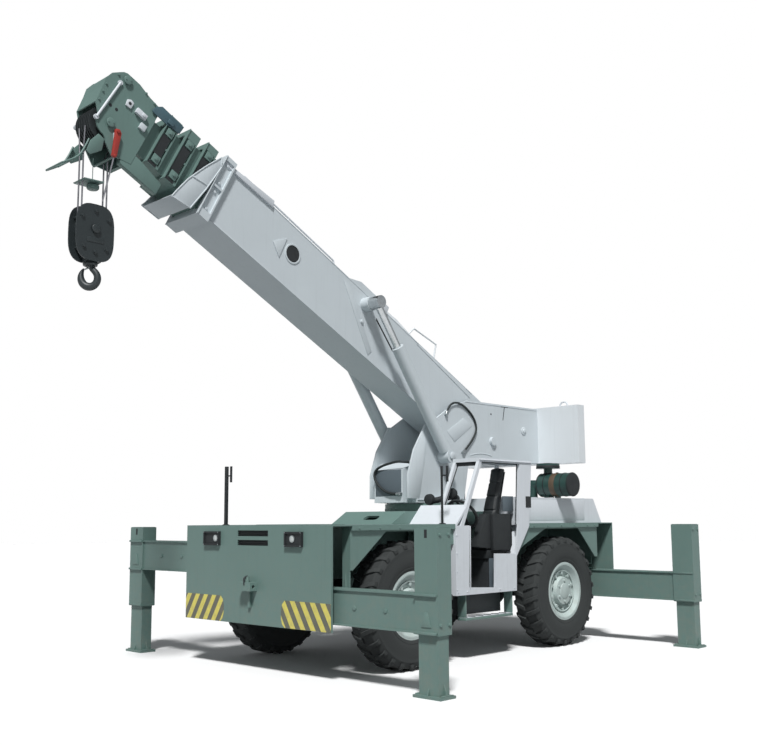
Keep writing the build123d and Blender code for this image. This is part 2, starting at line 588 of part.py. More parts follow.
def cab_step():
    """The step hung under the doorway."""
    solids = [block(STEP_X, STEP_Y, (STEP_Z, STEP_Z + 30))]
    for y in STEP_Y:
        inside = y + 12 if y < 0 else y - 12
        solids.append(block(STEP_X, (y, inside), (STEP_Z + 30, CAB_BOTTOM_Z)))
    return solids


def operator_seat():
    """The seat, its tapered back and the side box beside it."""
    x = CAB_OUTER_X - 260
    floor = CAB_BOTTOM_Z + 30
    cushion = 1340.0
    base = block((x - 150, x + 130), (150, CAB_LOW_REAR_Y - 40), (floor, cushion - 130))
    seat = block((x - 190, x + 150), (110, CAB_LOW_REAR_Y - 10), (cushion - 130, cushion))
    back = side_plate(((CAB_LOW_REAR_Y - 110, cushion), (CAB_LOW_REAR_Y - 10, cushion), (HOOD_FRONT_Y - 60, 2200), (550, 2200)), (x - 130, x + 130))
    side_box = block((x + 150, x + 200), (170, CAB_LOW_REAR_Y - 10), (cushion - 130, 1640))
    return join(base, seat, back, side_box)


def control_console():
    """The desk under the cowl, the steering column and the wheel."""
    x = CAB_OUTER_X - 250
    floor = CAB_BOTTOM_Z + 30
    front = CAB_FRONT_Y + CAB_WALL
    desk = side_plate(((front, floor), (front + 170, floor), (front + 190, 1440), (front, 1440)),
                      (CAB_INNER_X + CAB_WALL, CAB_OUTER_X - CAB_WALL))
    foot = Vector(x, front + 130, 1420)
    centre = Vector(x, -150, 1640)
    column = bar(foot, centre, 60)
    tilt = Plane(origin=centre, z_dir=centre - foot)
    wheel = tilt * Torus(190, 14)
    spokes = tilt * Box(360, 26, 16)
    hub = tilt * Cylinder(45, 40)
    return join(desk, column, wheel, spokes, hub)


def fuel_tank():
    inner = RAIL_OUTER_X + 100
    y = (CAB_FRONT_Y + 34, CAB_LOW_REAR_Y - 5)
    tank = block((-BODY_HALF_WIDTH + 20, -inner), y, (760, 1300))
    tank = fillet(tank.edges().filter_by(Axis.Y), 60)
    straps = []
    for share in (0.2, 0.5, 0.8):
        place = y[0] + share * (y[1] - y[0])
        straps.append(block((-inner, -RAIL_OUTER_X), (place - 40, place + 40), (1180, 1260)))
    return join(tank, straps)


def axles():
    solids = []
    for y in AXLE_Y.values():
        tube = cross_bar(y, WHEEL_Z, (-KINGPIN_X + 180, KINGPIN_X - 180), AXLE_TUBE_DIA)
        banjo = turn_about_x(((-230, 0), (-230, 105), (-120, BANJO_DIA / 2), (120, BANJO_DIA / 2), (230, 105),
                              (230, 0)), y, WHEEL_Z)
        yokes = []
        for side in (1, -1):
            x_in = side * (KINGPIN_X - 200)
            x_bridge = side * (KINGPIN_X - 120)
            half = KNUCKLE_HALF + RUN + EAR_THICK
            bridge = block((x_in, x_bridge), (y - EAR_WIDTH / 2, y + EAR_WIDTH / 2),
                           (WHEEL_Z - half, WHEEL_Z + half))
            yokes.append(bridge)
            for up in (1, -1):
                z0 = WHEEL_Z + up * (KNUCKLE_HALF + RUN)
                z1 = z0 + up * EAR_THICK
                ear = block((x_bridge, side * KINGPIN_X), (y - EAR_WIDTH / 2, y + EAR_WIDTH / 2), (z0, z1))
                ear += upright(side * KINGPIN_X, y, (min(z0, z1), max(z0, z1)), EAR_WIDTH)
                ear -= upright(side * KINGPIN_X, y, (min(z0, z1), max(z0, z1)), KINGPIN_DIA + 2 * FIT)
                yokes.append(ear)
        solids.append(join(tube, banjo, yokes))
    return join(solids)


def knuckle(side, end):
    """A steering knuckle with its kingpin, spindle and top arm."""
    y = AXLE_Y[end]
    x = side * KINGPIN_X
    half = KNUCKLE_HALF + RUN + EAR_THICK
    body = upright(x, y, (WHEEL_Z - KNUCKLE_HALF, WHEEL_Z + KNUCKLE_HALF), KNUCKLE_DIA)
    pin = upright(x, y, (WHEEL_Z - half - 8, WHEEL_Z + half + FIT), KINGPIN_DIA)
    spindle = cross_bar(y, WHEEL_Z, (x, side * SPINDLE_END_X), SPINDLE_DIA)
    z = (ARM_Z, ARM_Z + ARM_THICK)
    eye = (x - side * ARM_IN, y + ARM_BACK)
    arm = upright(x, y, z, 110) + upright(eye[0], eye[1], z, 80)
    elbow = (x - side * ARM_IN, y + 40)
    for a, b in (((x, y), elbow), (elbow, eye)):
        run = Vector(b[0] - a[0], b[1] - a[1], 0)
        across = Vector(-run.Y, run.X, 0).normalized() * 28
        corners = [(a[0] + k * across.X + m * run.X, a[1] + k * across.Y + m * run.Y)
                   for k, m in ((1, 0), (1, 1), (-1, 1), (-1, 0))]
        arm += floor_plate(corners, z)
    arm += upright(elbow[0], elbow[1], z, 56)
    return join(body, pin, spindle, arm)


def rim(side, end):
    """Wheel: barrel, dished disc and hub, turned on the spindle."""
    y = AXLE_Y[end]
    centre = TYRE_OUTER_X - TYRE_WIDTH / 2
    outer = centre + RIM_WIDTH / 2
    inner = centre - RIM_WIDTH / 2
    r = TYRE_BEAD_DIA / 2
    disc = TYRE_OUTER_X - HUB_FACE_IN
    hub_in = KINGPIN_X + KNUCKLE_DIA / 2 + RUN
    profile = ((inner - RIM_FLANGE, r - RIM_WALL), (inner - RIM_FLANGE, r + 20), (inner, r + 20), (inner, r),
               (outer, r), (outer, r + 20), (outer + RIM_FLANGE, r + 20), (outer + RIM_FLANGE, r - RIM_WALL),
               (disc, r - 60), (disc - 30, HUB_DIA / 2 + 20), (disc + 30, HUB_DIA / 2),
               (disc + 40, 0), (SPINDLE_END_X + 4, 0), (SPINDLE_END_X + 4, SPINDLE_DIA / 2 + FIT),
               (hub_in, SPINDLE_DIA / 2 + FIT), (hub_in, HUB_DIA / 2 - 30),
               (disc - 60, HUB_DIA / 2), (disc - 60, r - 60), (disc - 40, r - RIM_WALL))
    return turn_about_x([(side * x, radius) for x, radius in profile], y, WHEEL_Z)


def tyre(side, end):
    y = AXLE_Y[end]
    centre = TYRE_OUTER_X - TYRE_WIDTH / 2
    r = TYRE_DIA / 2
    half = TYRE_WIDTH / 2
    bead = TYRE_BEAD_DIA / 2
    profile = ((-half + 30, bead), (-half + 30, bead + 22), (-half + 5, bead + 70), (-half, bead + 150), (-half + 14, r - 90),
               (-half + 38, r - 14), (-100, r - 3), (0, r), (100, r - 3), (half - 38, r - 14),
               (half - 14, r - 90), (half, bead + 150), (half - 5, bead + 70),
               (half - 30, bead + 22), (half - 30, bead))
    return turn_about_x([(side * (centre + x), radius) for x, radius in profile], y, WHEEL_Z)


def tie_rod(end):
    y = AXLE_Y[end] + ARM_BACK
    low = ARM_Z + ARM_THICK + FIT
    high = low + TIE_ROD_BOSS
    x = KINGPIN_X - ARM_IN
    rod = cross_bar(y, (low + high) / 2, (-x, x), TIE_ROD_DIA)
    return join(rod, both_sides(upright(x, y, (low, high), 76)))


# Turret
def turret_frame():
    floor = upright(0, SLEW_Y, (TURRET_FLOOR_Z, TURRET_FLOOR_Z + TURRET_FLOOR_THICK), RING_DIA)
    floor += upright(0, SLEW_Y, (RING_TOP_Z + FIT, TURRET_FLOOR_Z), RING_DIA - 40)
    z0 = TURRET_FLOOR_Z
    outline = ((-250, z0), (-300, 2280), (-191, 2470), (-39, 2730), (420, 3000), (760, TAIL_TOP_Z),
               (TAIL_REAR_Y, TAIL_TOP_Z), (TAIL_REAR_Y, TAIL_BOTTOM_Z), (760, TAIL_BOTTOM_Z), (640, z0))
    plate = side_plate(outline, (PLATE_INNER_X, PLATE_INNER_X + PLATE_THICK))
    plate -= cross_bar(PIVOT_Y, PIVOT_Z, (PLATE_INNER_X, PLATE_INNER_X + PLATE_THICK), PIVOT_DIA)
    parts = both_sides(plate)
    across = (-PLATE_INNER_X, PLATE_INNER_X)
    parts.append(block(across, (TAIL_FLOOR_Y, TAIL_REAR_Y), (TAIL_BOTTOM_Z, TAIL_BOTTOM_Z + 16)))
    parts.append(block(across, (TAIL_REAR_Y - 25, TAIL_REAR_Y), (TAIL_BOTTOM_Z, TAIL_TOP_Z)))
    nose = side_plate(((NOSE_Y, z0), (NOSE_Y, 2180), (-250, 2240), (-250, z0)), (-NOSE_HALF, NOSE_HALF))
    parts.append(nose)
    parts.append(side_plate(((-250, z0), (-250, 2240), (-230, 2270), (0, 2300), (0, 2280), (-225, 2240),
                             (-225, z0)), across))
    pin = cross_bar(PIVOT_Y, PIVOT_Z, (-PLATE_INNER_X - 60, PLATE_INNER_X + 60), PIVOT_DIA)
    parts.append(pin)
    inner = PLATE_INNER_X + PLATE_THICK
    lug = cross_bar(LIFT_PIN_Y, LIFT_PIN_Z, (inner, LIFT_LUG_X), 160)
    parts += both_sides(lug)
    parts += both_sides(cross_bar(LIFT_PIN_Y, LIFT_PIN_Z, (inner, LIFT_X + 85), LIFT_PIN_DIA))
    return join(floor, parts)


def counterweight():
    y0 = TAIL_REAR_Y
    y1 = TAIL_REAR_Y + COUNTERWEIGHT_THICK
    x = COUNTERWEIGHT_HALF
    outline = ((-x, y0), (x, y0), (x, y1 - 60), (x - 60, y1), (-x + 60, y1), (-x, y1 - 60))
    return floor_plate(outline, (TAIL_BOTTOM_Z, COUNTERWEIGHT_TOP_Z))


def winch_drum():
    half = 250.0
    profile = ((-half, 0), (-half, DRUM_FLANGE_DIA / 2), (-half + 20, DRUM_FLANGE_DIA / 2),
               (-half + 20, DRUM_DIA / 2), (half - 20, DRUM_DIA / 2), (half - 20, DRUM_FLANGE_DIA / 2),
               (half, DRUM_FLANGE_DIA / 2), (half, 0))
    drum = turn_about_x(profile, WINCH_Y, WINCH_Z)
    return drum + cross_bar(WINCH_Y, WINCH_Z, (-PLATE_INNER_X + FIT, PLATE_INNER_X - FIT), 120)


# Boom
def boom_section(number):
    """One box of the boom, number 0 to 4, with its front collar and the pads that guide the next."""
    half, low, high, wall, front, aside, above, below = SECTIONS[number]
    rear = BOOM_REAR_S if number == 0 else SECTION_REAR_S + (number - 1) * SECTION_REAR_STEP
    body = boom_block((rear, front), (low, high), (-half, half))
    body -= boom_block((rear + (20 if number == 0 else 0), front), (low + wall, high - wall),
                       (-half + wall, half - wall))
    if number < len(SECTIONS) - 1:
        inner_half, inner_low, inner_high = SECTIONS[number + 1][:3]
        along = (front - COLLAR_LENGTH, front)
        collar = boom_block(along, (low - below, high + above), (-half - aside, half + aside))
        collar -= boom_block(along, (low + wall, high - wall), (-half + wall, half - wall))
        body += collar
        middle = (low + high) / 2
        inner = half + aside * 0.35
        for n in ((low + 30, middle - 12), (middle + 12, high - 10)):
            for x in ((inner, half + aside), (-half - aside, -inner)):
                body -= boom_block((along[0] + 16, front - 16), n, x)
        pad = (-inner_half + 30, inner_half - 30)
        body += boom_block((front - PAD_LENGTH, front), (low + wall, inner_low - FIT), pad)
        body += boom_block((front - PAD_LENGTH, front), (inner_high + FIT, high - wall), pad)
    return body


def boom_base():
    body = boom_section(0)
    half, low, high = SECTIONS[0][:3]
    heel_s, heel_n = BOOM_HEEL
    rear = BOOM_REAR_S
    body -= boom_plate(((rear, low), (heel_s, low), (rear, heel_n)), (-half, half))
    body += boom_plate(((rear, heel_n), (heel_s, low), (heel_s + 30, low), (rear, heel_n + 26)), (-half, half))
    bracket = ((2450, high), (3080, high), (2900, high + 80), (2520, high + 80))
    body = join(body, both_sides(boom_plate(bracket, (half - 40, half))))
    y, z = boom_point(0, 0)[1:]
    boss = cross_bar(y, z, (half, PLATE_INNER_X - 5), 220)
    body = join(body, both_sides(boss))
    body -= cross_bar(y, z, (-PLATE_INNER_X, PLATE_INNER_X), PIVOT_DIA + 2 * FIT)
    eye = boom_point(LIFT_EYE_S, LIFT_EYE_N)
    lugs = both_sides(cross_bar(eye[1], eye[2], (half, LIFT_LUG_X), 170))
    return join(body, lugs)


def boom_tip():
    """The last box of the boom with the head's two side plates, its front cover and its pins."""
    body = boom_section(4)
    inner = HEAD_HALF - HEAD_WALL
    plate = boom_plate(HEAD_OUTLINE, (inner, HEAD_HALF))
    y, z = boom_point(HEAD_SHEAVE_S, HEAD_SHEAVE_N)[1:]
    plate += cross_bar(y, z, (inner, HEAD_HALF), HEAD_CHEEK_DIA)
    parts = [body] + both_sides(plate)
    parts.append(boom_plate(HEAD_COVER, (-inner, inner)))
    parts.append(boom_block((5960, 5990), (-370, 367), (-inner, inner)))
    for s, n in ((HEAD_SHEAVE_S, HEAD_SHEAVE_N), (TOP_SHEAVE_S, TOP_SHEAVE_N)):
        y, z = boom_point(s, n)[1:]
        parts.append(cross_bar(y, z, (-HEAD_HALF - 20, HEAD_HALF + 20), HEAD_PIN_DIA))
    guard_y = HOOK_Y + (FALL_SPREAD - ROPE_DIA - GUARD_DIA) / 2 - FIT
    y, z = boom_point(6270, -330)[1:]
    hanger = side_plate(((y - 40, z), (y + 40, z), (guard_y + 25, HOOK_PIVOT_Z), (guard_y - 25, HOOK_PIVOT_Z)),
                        (inner, HEAD_HALF))
    parts += both_sides(hanger)
    parts.append(cross_bar(guard_y, HOOK_PIVOT_Z, (-HEAD_HALF, HEAD_HALF), GUARD_DIA))
    return join(parts)


def sheave_row(s, n, diameter, count):
    y, z = boom_point(s, n)[1:]
    rows = []
    pitch = FALL_PITCH
    start = -(count - 1) * pitch / 2
    for index in range(count):
        x = start + index * pitch
        w = SHEAVE_WIDTH / 2
        slot = ROPE_DIA / 2 + 2
        r = diameter / 2
        low = r - SHEAVE_GROOVE
        bore = HEAD_PIN_DIA / 2 + FIT
        profile = ((x - w, bore), (x - w, r), (x - slot, r), (x - slot, low), (x + slot, low), (x + slot, r),
                   (x + w, r), (x + w, bore))
        rows.append(turn_about_x(profile, y, z))
        if index < count - 1:
            sides = (x + w, x + pitch - w)
            rows.append(turn_about_x(((sides[0], bore), (sides[0], 60), (sides[1], 60), (sides[1], bore)), y, z))
    return join(rows)


def lift_barrel(side):
    low = Vector(side * LIFT_X, LIFT_PIN_Y, LIFT_PIN_Z)
    eye = Vector(*boom_point(LIFT_EYE_S, LIFT_EYE_N, side * LIFT_X))
    along = (eye - low).normalized()
    gland = low + along * BARREL_LENGTH
    tube = bar(low + along * BARREL_START, gland, BARREL_DIA)
    foot = cross_bar(low.Y, low.Z, (side * (LIFT_LUG_X + 2), side * (2 * LIFT_X - LIFT_LUG_X - 2)), 172)
    neck = bar(low, low + along * BARREL_FLOOR, BARREL_NECK_DIA)
    body = join(tube, neck, foot)
    body -= bar(low + along * BARREL_FLOOR, gland - along * GLAND_LENGTH, BARREL_DIA - 2 * BARREL_WALL)
    body -= bar(gland - along * GLAND_LENGTH, gland, ROD_DIA + 2 * FIT)
    return body - cross_bar(low.Y, low.Z, (side * LIFT_LUG_X, side * (LIFT_X + 90)), LIFT_PIN_DIA + 2 * FIT)


def lift_rod(side):
    low = Vector(side * LIFT_X, LIFT_PIN_Y, LIFT_PIN_Z)
    eye = Vector(*boom_point(LIFT_EYE_S, LIFT_EYE_N, side * LIFT_X))
    along = (eye - low).normalized()
    rod = bar(low + along * PISTON_PLACE, eye, ROD_DIA)
    piston = bar(low + along * PISTON_PLACE, low + along * (PISTON_PLACE + PISTON_LENGTH),
                 BARREL_DIA - 2 * BARREL_WALL - 2 * FIT)
    head = cross_bar(eye.Y, eye.Z, (side * (LIFT_LUG_X + 2), side * (2 * LIFT_X - LIFT_LUG_X - 2)), 150)
    return join(rod, piston, head)


def hook_block():
    """Two cheeks, the sheaves on their pin between them and the crosshead that carries the hook."""
    inner = BLOCK_THICK / 2 - BLOCK_CHEEK
    middle = (BLOCK_TOP_Z + BLOCK_BOTTOM_Z) / 2
    tall = (BLOCK_TOP_Z - BLOCK_BOTTOM_Z) / 2
    outline = []
    for step in range(40):
        turn = 2 * pi * step / 40
        across = abs(cos(turn)) ** BLOCK_CORNER * (1 if cos(turn) > 0 else -1)
        rise = abs(sin(turn)) ** BLOCK_CORNER * (1 if sin(turn) > 0 else -1)
        outline.append((HOOK_Y + BLOCK_WIDTH / 2 * across, middle + tall * rise))
    parts = both_sides(side_plate(outline, (inner, BLOCK_THICK / 2)))
    parts.append(cross_bar(HOOK_Y, BLOCK_SHEAVE_Z, (-BLOCK_THICK / 2 - 12, BLOCK_THICK / 2 + 12), 70))
    outer = BLOCK_SHEAVE_DIA / 2
    slot = ROPE_DIA / 2 + 2
    low = (FALL_SPREAD - ROPE_DIA) / 2 - FIT
    for x in (-FALL_PITCH / 2, FALL_PITCH / 2):
        half = SHEAVE_WIDTH / 2
        profile = ((x - half, 0), (x - half, outer), (x - slot, outer), (x - slot, low), (x + slot, low),
                   (x + slot, outer), (x + half, outer), (x + half, 0))
        parts.append(turn_about_x(profile, HOOK_Y, BLOCK_SHEAVE_Z))
    parts.append(block((-inner, inner), (HOOK_Y - 60, HOOK_Y + 60), (BLOCK_BOTTOM_Z, BLOCK_BOTTOM_Z + 90)))
    return join(parts)


def hoist_ropes():
    """The falls between the block and the head, each pair in one length round its sheave."""
    ropes = []
    for x in (-FALL_PITCH / 2, FALL_PITCH / 2):
        front = HOOK_Y - FALL_SPREAD / 2
        rear = HOOK_Y + FALL_SPREAD / 2
        down = Line((x, front, HOOK_PIVOT_Z), (x, front, BLOCK_SHEAVE_Z))
        round_sheave = ThreePointArc((x, front, BLOCK_SHEAVE_Z), (x, HOOK_Y, BLOCK_SHEAVE_Z - FALL_SPREAD / 2),
                                     (x, rear, BLOCK_SHEAVE_Z))
        up = Line((x, rear, BLOCK_SHEAVE_Z), (x, rear, HOOK_PIVOT_Z))
        end = Plane(origin=(x, front, HOOK_PIVOT_Z), z_dir=(0, 0, -1))
        ropes.append(sweep(end * Circle(ROPE_DIA / 2), path=Wire([down, round_sheave, up])))
    return join(ropes)


def hook():
    """The load hook: a round body with an eye off its middle and a throat cut up to one side."""
    turn = radians(HOOK_TURN)
    face = Plane(origin=(0, HOOK_Y, HOOK_BOTTOM_Z + HOOK_DIA / 2), x_dir=(cos(turn), sin(turn), 0),
                 z_dir=(sin(turn), -cos(turn), 0))
    eye = HOOK_EYE_DIA / 2
    body = Circle(HOOK_DIA / 2) + Pos(6, 90) * Rectangle(70, 80)
    hollow = Pos(HOOK_EYE_OFFSET, -4) * Circle(eye) + make_hull(
        (Pos(HOOK_EYE_OFFSET, -4) * Circle(eye)).edges() + (Pos(HOOK_EYE_OFFSET - 6, 84) * Circle(18)).edges())
    throat = Pos(HOOK_EYE_OFFSET - 6, 62) * Rot(0, 0, 145) * Pos(90, 0) * Rectangle(180, HOOK_THROAT)
    plate = extrude(face * (body - hollow - throat), amount=HOOK_THICK / 2, both=True)
    top = BLOCK_BOTTOM_Z - FIT
    shank = upright(0, HOOK_Y, (HOOK_BOTTOM_Z + HOOK_DIA / 2 + 100, top), HOOK_SHANK_DIA)
    return plate + shank


def side_hose():
    """The hose that loops over the turret's left side plate, and its two end fittings."""
    x = PLATE_INNER_X + PLATE_THICK + SIDE_HOSE_DIA / 2 + 3
    route = [(x, y, z) for y, z in SIDE_HOSE_ROUTE]
    parts = [hose(route, SIDE_HOSE_RADII, SIDE_HOSE_DIA)]
    for y, z in (SIDE_HOSE_ROUTE[0], SIDE_HOSE_ROUTE[-1]):
        parts.append(cross_bar(y, z, (PLATE_INNER_X + PLATE_THICK, x + SIDE_HOSE_DIA / 2), HOSE_FITTING_DIA))
    return join(parts)


def nose_hose():
    """The hose that hangs in a loop before the turret's nose, and its two end fittings."""
    first, last = NOSE_HOSE_ROUTE[0], NOSE_HOSE_ROUTE[-1]
    y = NOSE_Y - NOSE_HOSE_DIA / 2 - 7
    route = [first] + [(x, y, z) for x, z in NOSE_HOSE_ROUTE[1:]]
    upper = cross_bar(first[1], first[2], (first[0] - 18, PLATE_INNER_X), HOSE_FITTING_DIA)
    lower = bar((last[0], y - 14, last[1]), (last[0], NOSE_Y, last[1]), HOSE_FITTING_DIA)
    return join(hose(route, NOSE_HOSE_RADII, NOSE_HOSE_DIA), upper, lower)


def lamps():
    solids = []
    for x0, x1 in LAMP_X:
        body = block((x0, x1), (FRONT_FACE_Y - 35, FRONT_FACE_Y), LAMP_Z)
        body -= block((x0 + 18, x1 - 18), (FRONT_FACE_Y - 35, FRONT_FACE_Y - 20), (LAMP_Z[0] + 18, LAMP_Z[1] - 18))
        solids.append(body)
    return join(solids)


def mirrors():
    """Two mirrors on upright stalks that stand on the front deck."""
    y = FRONT_FACE_Y + 37
    right = upright(-533, y, (DECK_Z, 2190), 26) + block((-540, -470), (y - 25, y + 25), (2090, 2190))
    x = CAB_OUTER_X - 60
    y = CAB_FRONT_Y - 106
    left = upright(x, y, (DECK_Z, 2176), 30) + block((x - 30, x + 30), (y - 35, y + 35), (2100, 2190))
    return join(right, left)


def all_nodes():
    nodes = {
        "chassis_frame": chassis_frame(),
        "turntable_base": turntable_base(),
        "front_plate": front_plate(),
        "outrigger_housings": outrigger_housings(),
        "front_deck": front_deck(),
        "rear_deck": rear_deck(),
        "engine_hood": engine_hood(),
        "engine": engine(),
        "air_cleaner": air_cleaner(),
        "cab_shell": cab_shell(),
        "operator_seat": operator_seat(),
        "control_console": control_console(),
        "fuel_tank": fuel_tank(),
        "axles": axles(),
        "lamps": lamps(),
        "mirrors": mirrors(),
        "turret_frame": turret_frame(),
        "counterweight": counterweight(),
        "winch_drum": winch_drum(),
        "side_hose": side_hose(),
        "nose_hose": nose_hose(),
        "boom_base": boom_base(),
        "boom_section_2": boom_section(1),
        "boom_section_3": boom_section(2),
        "boom_section_4": boom_section(3),
        "boom_tip": boom_tip(),
        "head_sheaves": sheave_row(HEAD_SHEAVE_S, HEAD_SHEAVE_N, HEAD_SHEAVE_DIA, 4),
        "top_sheave": sheave_row(TOP_SHEAVE_S, TOP_SHEAVE_N, TOP_SHEAVE_DIA, 1),
        "hook_block": hook_block(),
        "hoist_ropes": hoist_ropes(),
        "hook": hook(),
    }
    for name, side, end in CORNERS:
        jack_y = JACK_FRONT_Y if end < 0 else JACK_REAR_Y
        nodes["outrigger_beam_" + name] = beam(side, jack_y)
        nodes["outrigger_leg_" + name] = leg(side, jack_y)
        nodes["knuckle_" + name] = knuckle(side, end)
        nodes["wheel_" + name] = rim(side, end)
        nodes["tyre_" + name] = tyre(side, end)
    for name, end in (("front", -1), ("rear", 1)):
        nodes["tie_rod_" + name] = tie_rod(end)
    for name, side in (("left", 1), ("right", -1)):
        nodes["lift_barrel_" + name] = lift_barrel(side)
        nodes["lift_rod_" + name] = lift_rod(side)
    return nodes


def main():
    os.makedirs("parts", exist_ok=True)
    nodes = all_nodes()
    boxes = [shape.bounding_box() for shape in nodes.values()]
    front = min(box.min.Y for box in boxes)
    rear = max(box.max.Y for box in boxes)
    shift = -(front + rear) / 2
    print("moved along Y by", round(shift, 3))
    for name, shape in nodes.items():
        export_step(Pos(0, shift, 0) * shape, "parts/" + name + ".step")


main()
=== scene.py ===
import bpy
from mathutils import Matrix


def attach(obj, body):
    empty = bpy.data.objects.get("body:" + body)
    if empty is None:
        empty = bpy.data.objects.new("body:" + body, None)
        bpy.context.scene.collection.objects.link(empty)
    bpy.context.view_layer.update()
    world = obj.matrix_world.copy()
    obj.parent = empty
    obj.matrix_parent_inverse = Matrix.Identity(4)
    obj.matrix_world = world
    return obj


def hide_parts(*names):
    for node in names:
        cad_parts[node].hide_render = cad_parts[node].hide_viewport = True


bl_info = {
    "name": "Yard crane dressing",
    "version": (1, 0, 0),
    "blender": (4, 5, 0),
    "location": "View3D > Sidebar > Crane",
    "description": "Dresses the packed model of a mobile crane with detail pieces, finishes and a studio",
    "category": "Object",
}

import math

import bpy
from mathutils import Matrix, Vector

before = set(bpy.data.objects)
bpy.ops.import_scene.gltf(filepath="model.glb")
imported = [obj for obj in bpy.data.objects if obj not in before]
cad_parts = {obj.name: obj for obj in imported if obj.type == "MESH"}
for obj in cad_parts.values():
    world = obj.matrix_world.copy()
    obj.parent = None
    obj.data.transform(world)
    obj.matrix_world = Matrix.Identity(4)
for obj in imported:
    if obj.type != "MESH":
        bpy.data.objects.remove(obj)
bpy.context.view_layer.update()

CORNERS = (("front_left", 1, -1), ("front_right", -1, -1), ("rear_left", 1, 1), ("rear_right", -1, 1))

# Places are written in millimetres on the crane, with Y 0 near the middle of its wheelbase
SHIFT_Y = 994.0
BOOM_FOOT = (1250.0, 2600.0)
BOOM_ANGLE = math.radians(27.5)
WHEEL_Z = 677.0
WHEEL_X = 1045.0
AXLE_Y = {-1: -1300.0, 1: 1545.0}
JACK_X = 2377.0
JACK_Y = {-1: -2322.0, 1: 2487.0}
FACE_Y = -2487.0
DECK_Z = 1525.0
CHEEK_X = 325.0           # outer face of the turret's cheeks
BOOM_SIDE = 240           # side of the boom's base section
DRUM = (1960, 2780)       # the winch drum's axis, as (y, z)
RING_MIDDLE_Y = 300       # the slewing ring's middle
SEAT_X = 950              # middle of the seat and the steering wheel
HOOD_SIDE = 1050
BEAM_STROKE = 1287        # how far an outrigger beam slides
LAMP_Z = 1386
GAUGES = ((600, -300, 1810), (783, -106, 1877))
BODY_HALF = 1210.0

# The photograph's camera: place in metres, turns in degrees, focal length and shift in pixels
CAMERA_PLACE = (8.37, -8.186, 1.57)
CAMERA_YAW = 44.13
CAMERA_PITCH = 7.47
CAMERA_ROLL = -0.31
FOCAL_PIXELS = 989.4
SHIFT_PIXELS = 18.1
PHOTO_WIDTH = 759
SENSOR_WIDTH = 36.0


def at(x, y, z):
    """A place in metres from millimetres on the crane."""
    return Vector((x / 1000, (y + SHIFT_Y) / 1000, z / 1000))


def boom_at(s, n, x=0.0):
    """A place on the parked boom: s along it from its foot, n up from its line and x to the left."""
    y = BOOM_FOOT[0] - s * math.cos(BOOM_ANGLE) + n * math.sin(BOOM_ANGLE)
    return at(x, y, BOOM_FOOT[1] + s * math.sin(BOOM_ANGLE) + n * math.cos(BOOM_ANGLE))


def linear(text):
    """The linear colour of an sRGB hex value."""
    channels = [int(text[i:i + 2], 16) / 255 for i in (1, 3, 5)]
    return [c / 12.92 if c <= 0.04045 else ((c + 0.055) / 1.055) ** 2.4 for c in channels]


def colour(name, text, description):
    """A colour property whose default is an sRGB hex value."""
    return bpy.props.FloatVectorProperty(name=name, description=description, subtype="COLOR", size=3,
                                         min=0.0, max=1.0, default=linear(text))


def length(name, value, description):
    """A length property in metres."""
    return bpy.props.FloatProperty(name=name, description=description, default=value, min=0.0, unit="LENGTH")


class CraneColours(bpy.types.PropertyGroup):
    """Colours of the crane's finishes"""
    carrier: colour("Carrier", "#68827C", "Grey-green enamel of the carrier, outriggers and inner boom")
    boom: colour("Boom", "#CAD2D6", "Light grey enamel of the boom base, turret and lift cylinders")
    cab: colour("Cab", "#D6DBE0", "Off-white enamel of the cab, hood and counterweight")
    hook: colour("Hook block", "#2C3335", "Black enamel of the hook block")
    steel: colour("Axles", "#2E3335", "Dark enamel of axles, knuckles and engine")
    wheel: colour("Wheels", "#B8C6C3", "Grey enamel of the wheels")
    rubber: colour("Tyres", "#485451", "Rubber of the tyres")
    dust: colour("Tread dust", "#B4BBB6", "Pale dust on the tread")
    stripe: colour("Stripes", "#E3D66A", "Yellow of the warning stripes")
    stripe_ground: colour("Stripe ground", "#66675B", "Weathered dark paint between the stripes")
    socket: colour("Wedge socket", "#A83830", "Red enamel of the wedge socket")
    trim: colour("Trim", "#1E2224", "Black of seats, hoses and lamp bezels")
    lens: colour("Lamp lens", "#D8DEDC", "Pale ribbed lens of the head lamps")


class CraneSizes(bpy.types.PropertyGroup):
    """Sizes of the crane's detail pieces"""
    stripe_width: length("Stripe width", 0.060, "Width of a warning stripe, measured level")
    lug_count: bpy.props.IntProperty(name="Lugs", description="Tread lugs in each of a tyre's two rows",
                                     default=26, min=8)
    rope: length("Rope", 0.016, "Diameter of the hoist rope")


def add(tree, kind, settings=None, links=None):
    """Adds a node, sets its properties and inputs by name, and links other sockets to its inputs."""
    made = tree.nodes.new(kind)
    for name, value in (settings or {}).items():
        if isinstance(name, str) and name in made.bl_rna.properties:
            setattr(made, name, value)
        else:
            made.inputs[name].default_value = value
    for name, source in (links or {}).items():
        tree.links.new(source, made.inputs[name])
    return made


def start_material(name):
    """An empty node material with its shader, output and place on the object."""
    made = bpy.data.materials.new(name)
    made.use_nodes = True
    tree = made.node_tree
    tree.nodes.clear()
    place = add(tree, "ShaderNodeTexCoord").outputs["Object"]
    shader = add(tree, "ShaderNodeBsdfPrincipled")
    add(tree, "ShaderNodeOutputMaterial", links={"Surface": shader.outputs["BSDF"]})
    return made, tree, place, shader


def rgba(value, factor=1.0):
    return (value[0] * factor, value[1] * factor, value[2] * factor, 1.0)


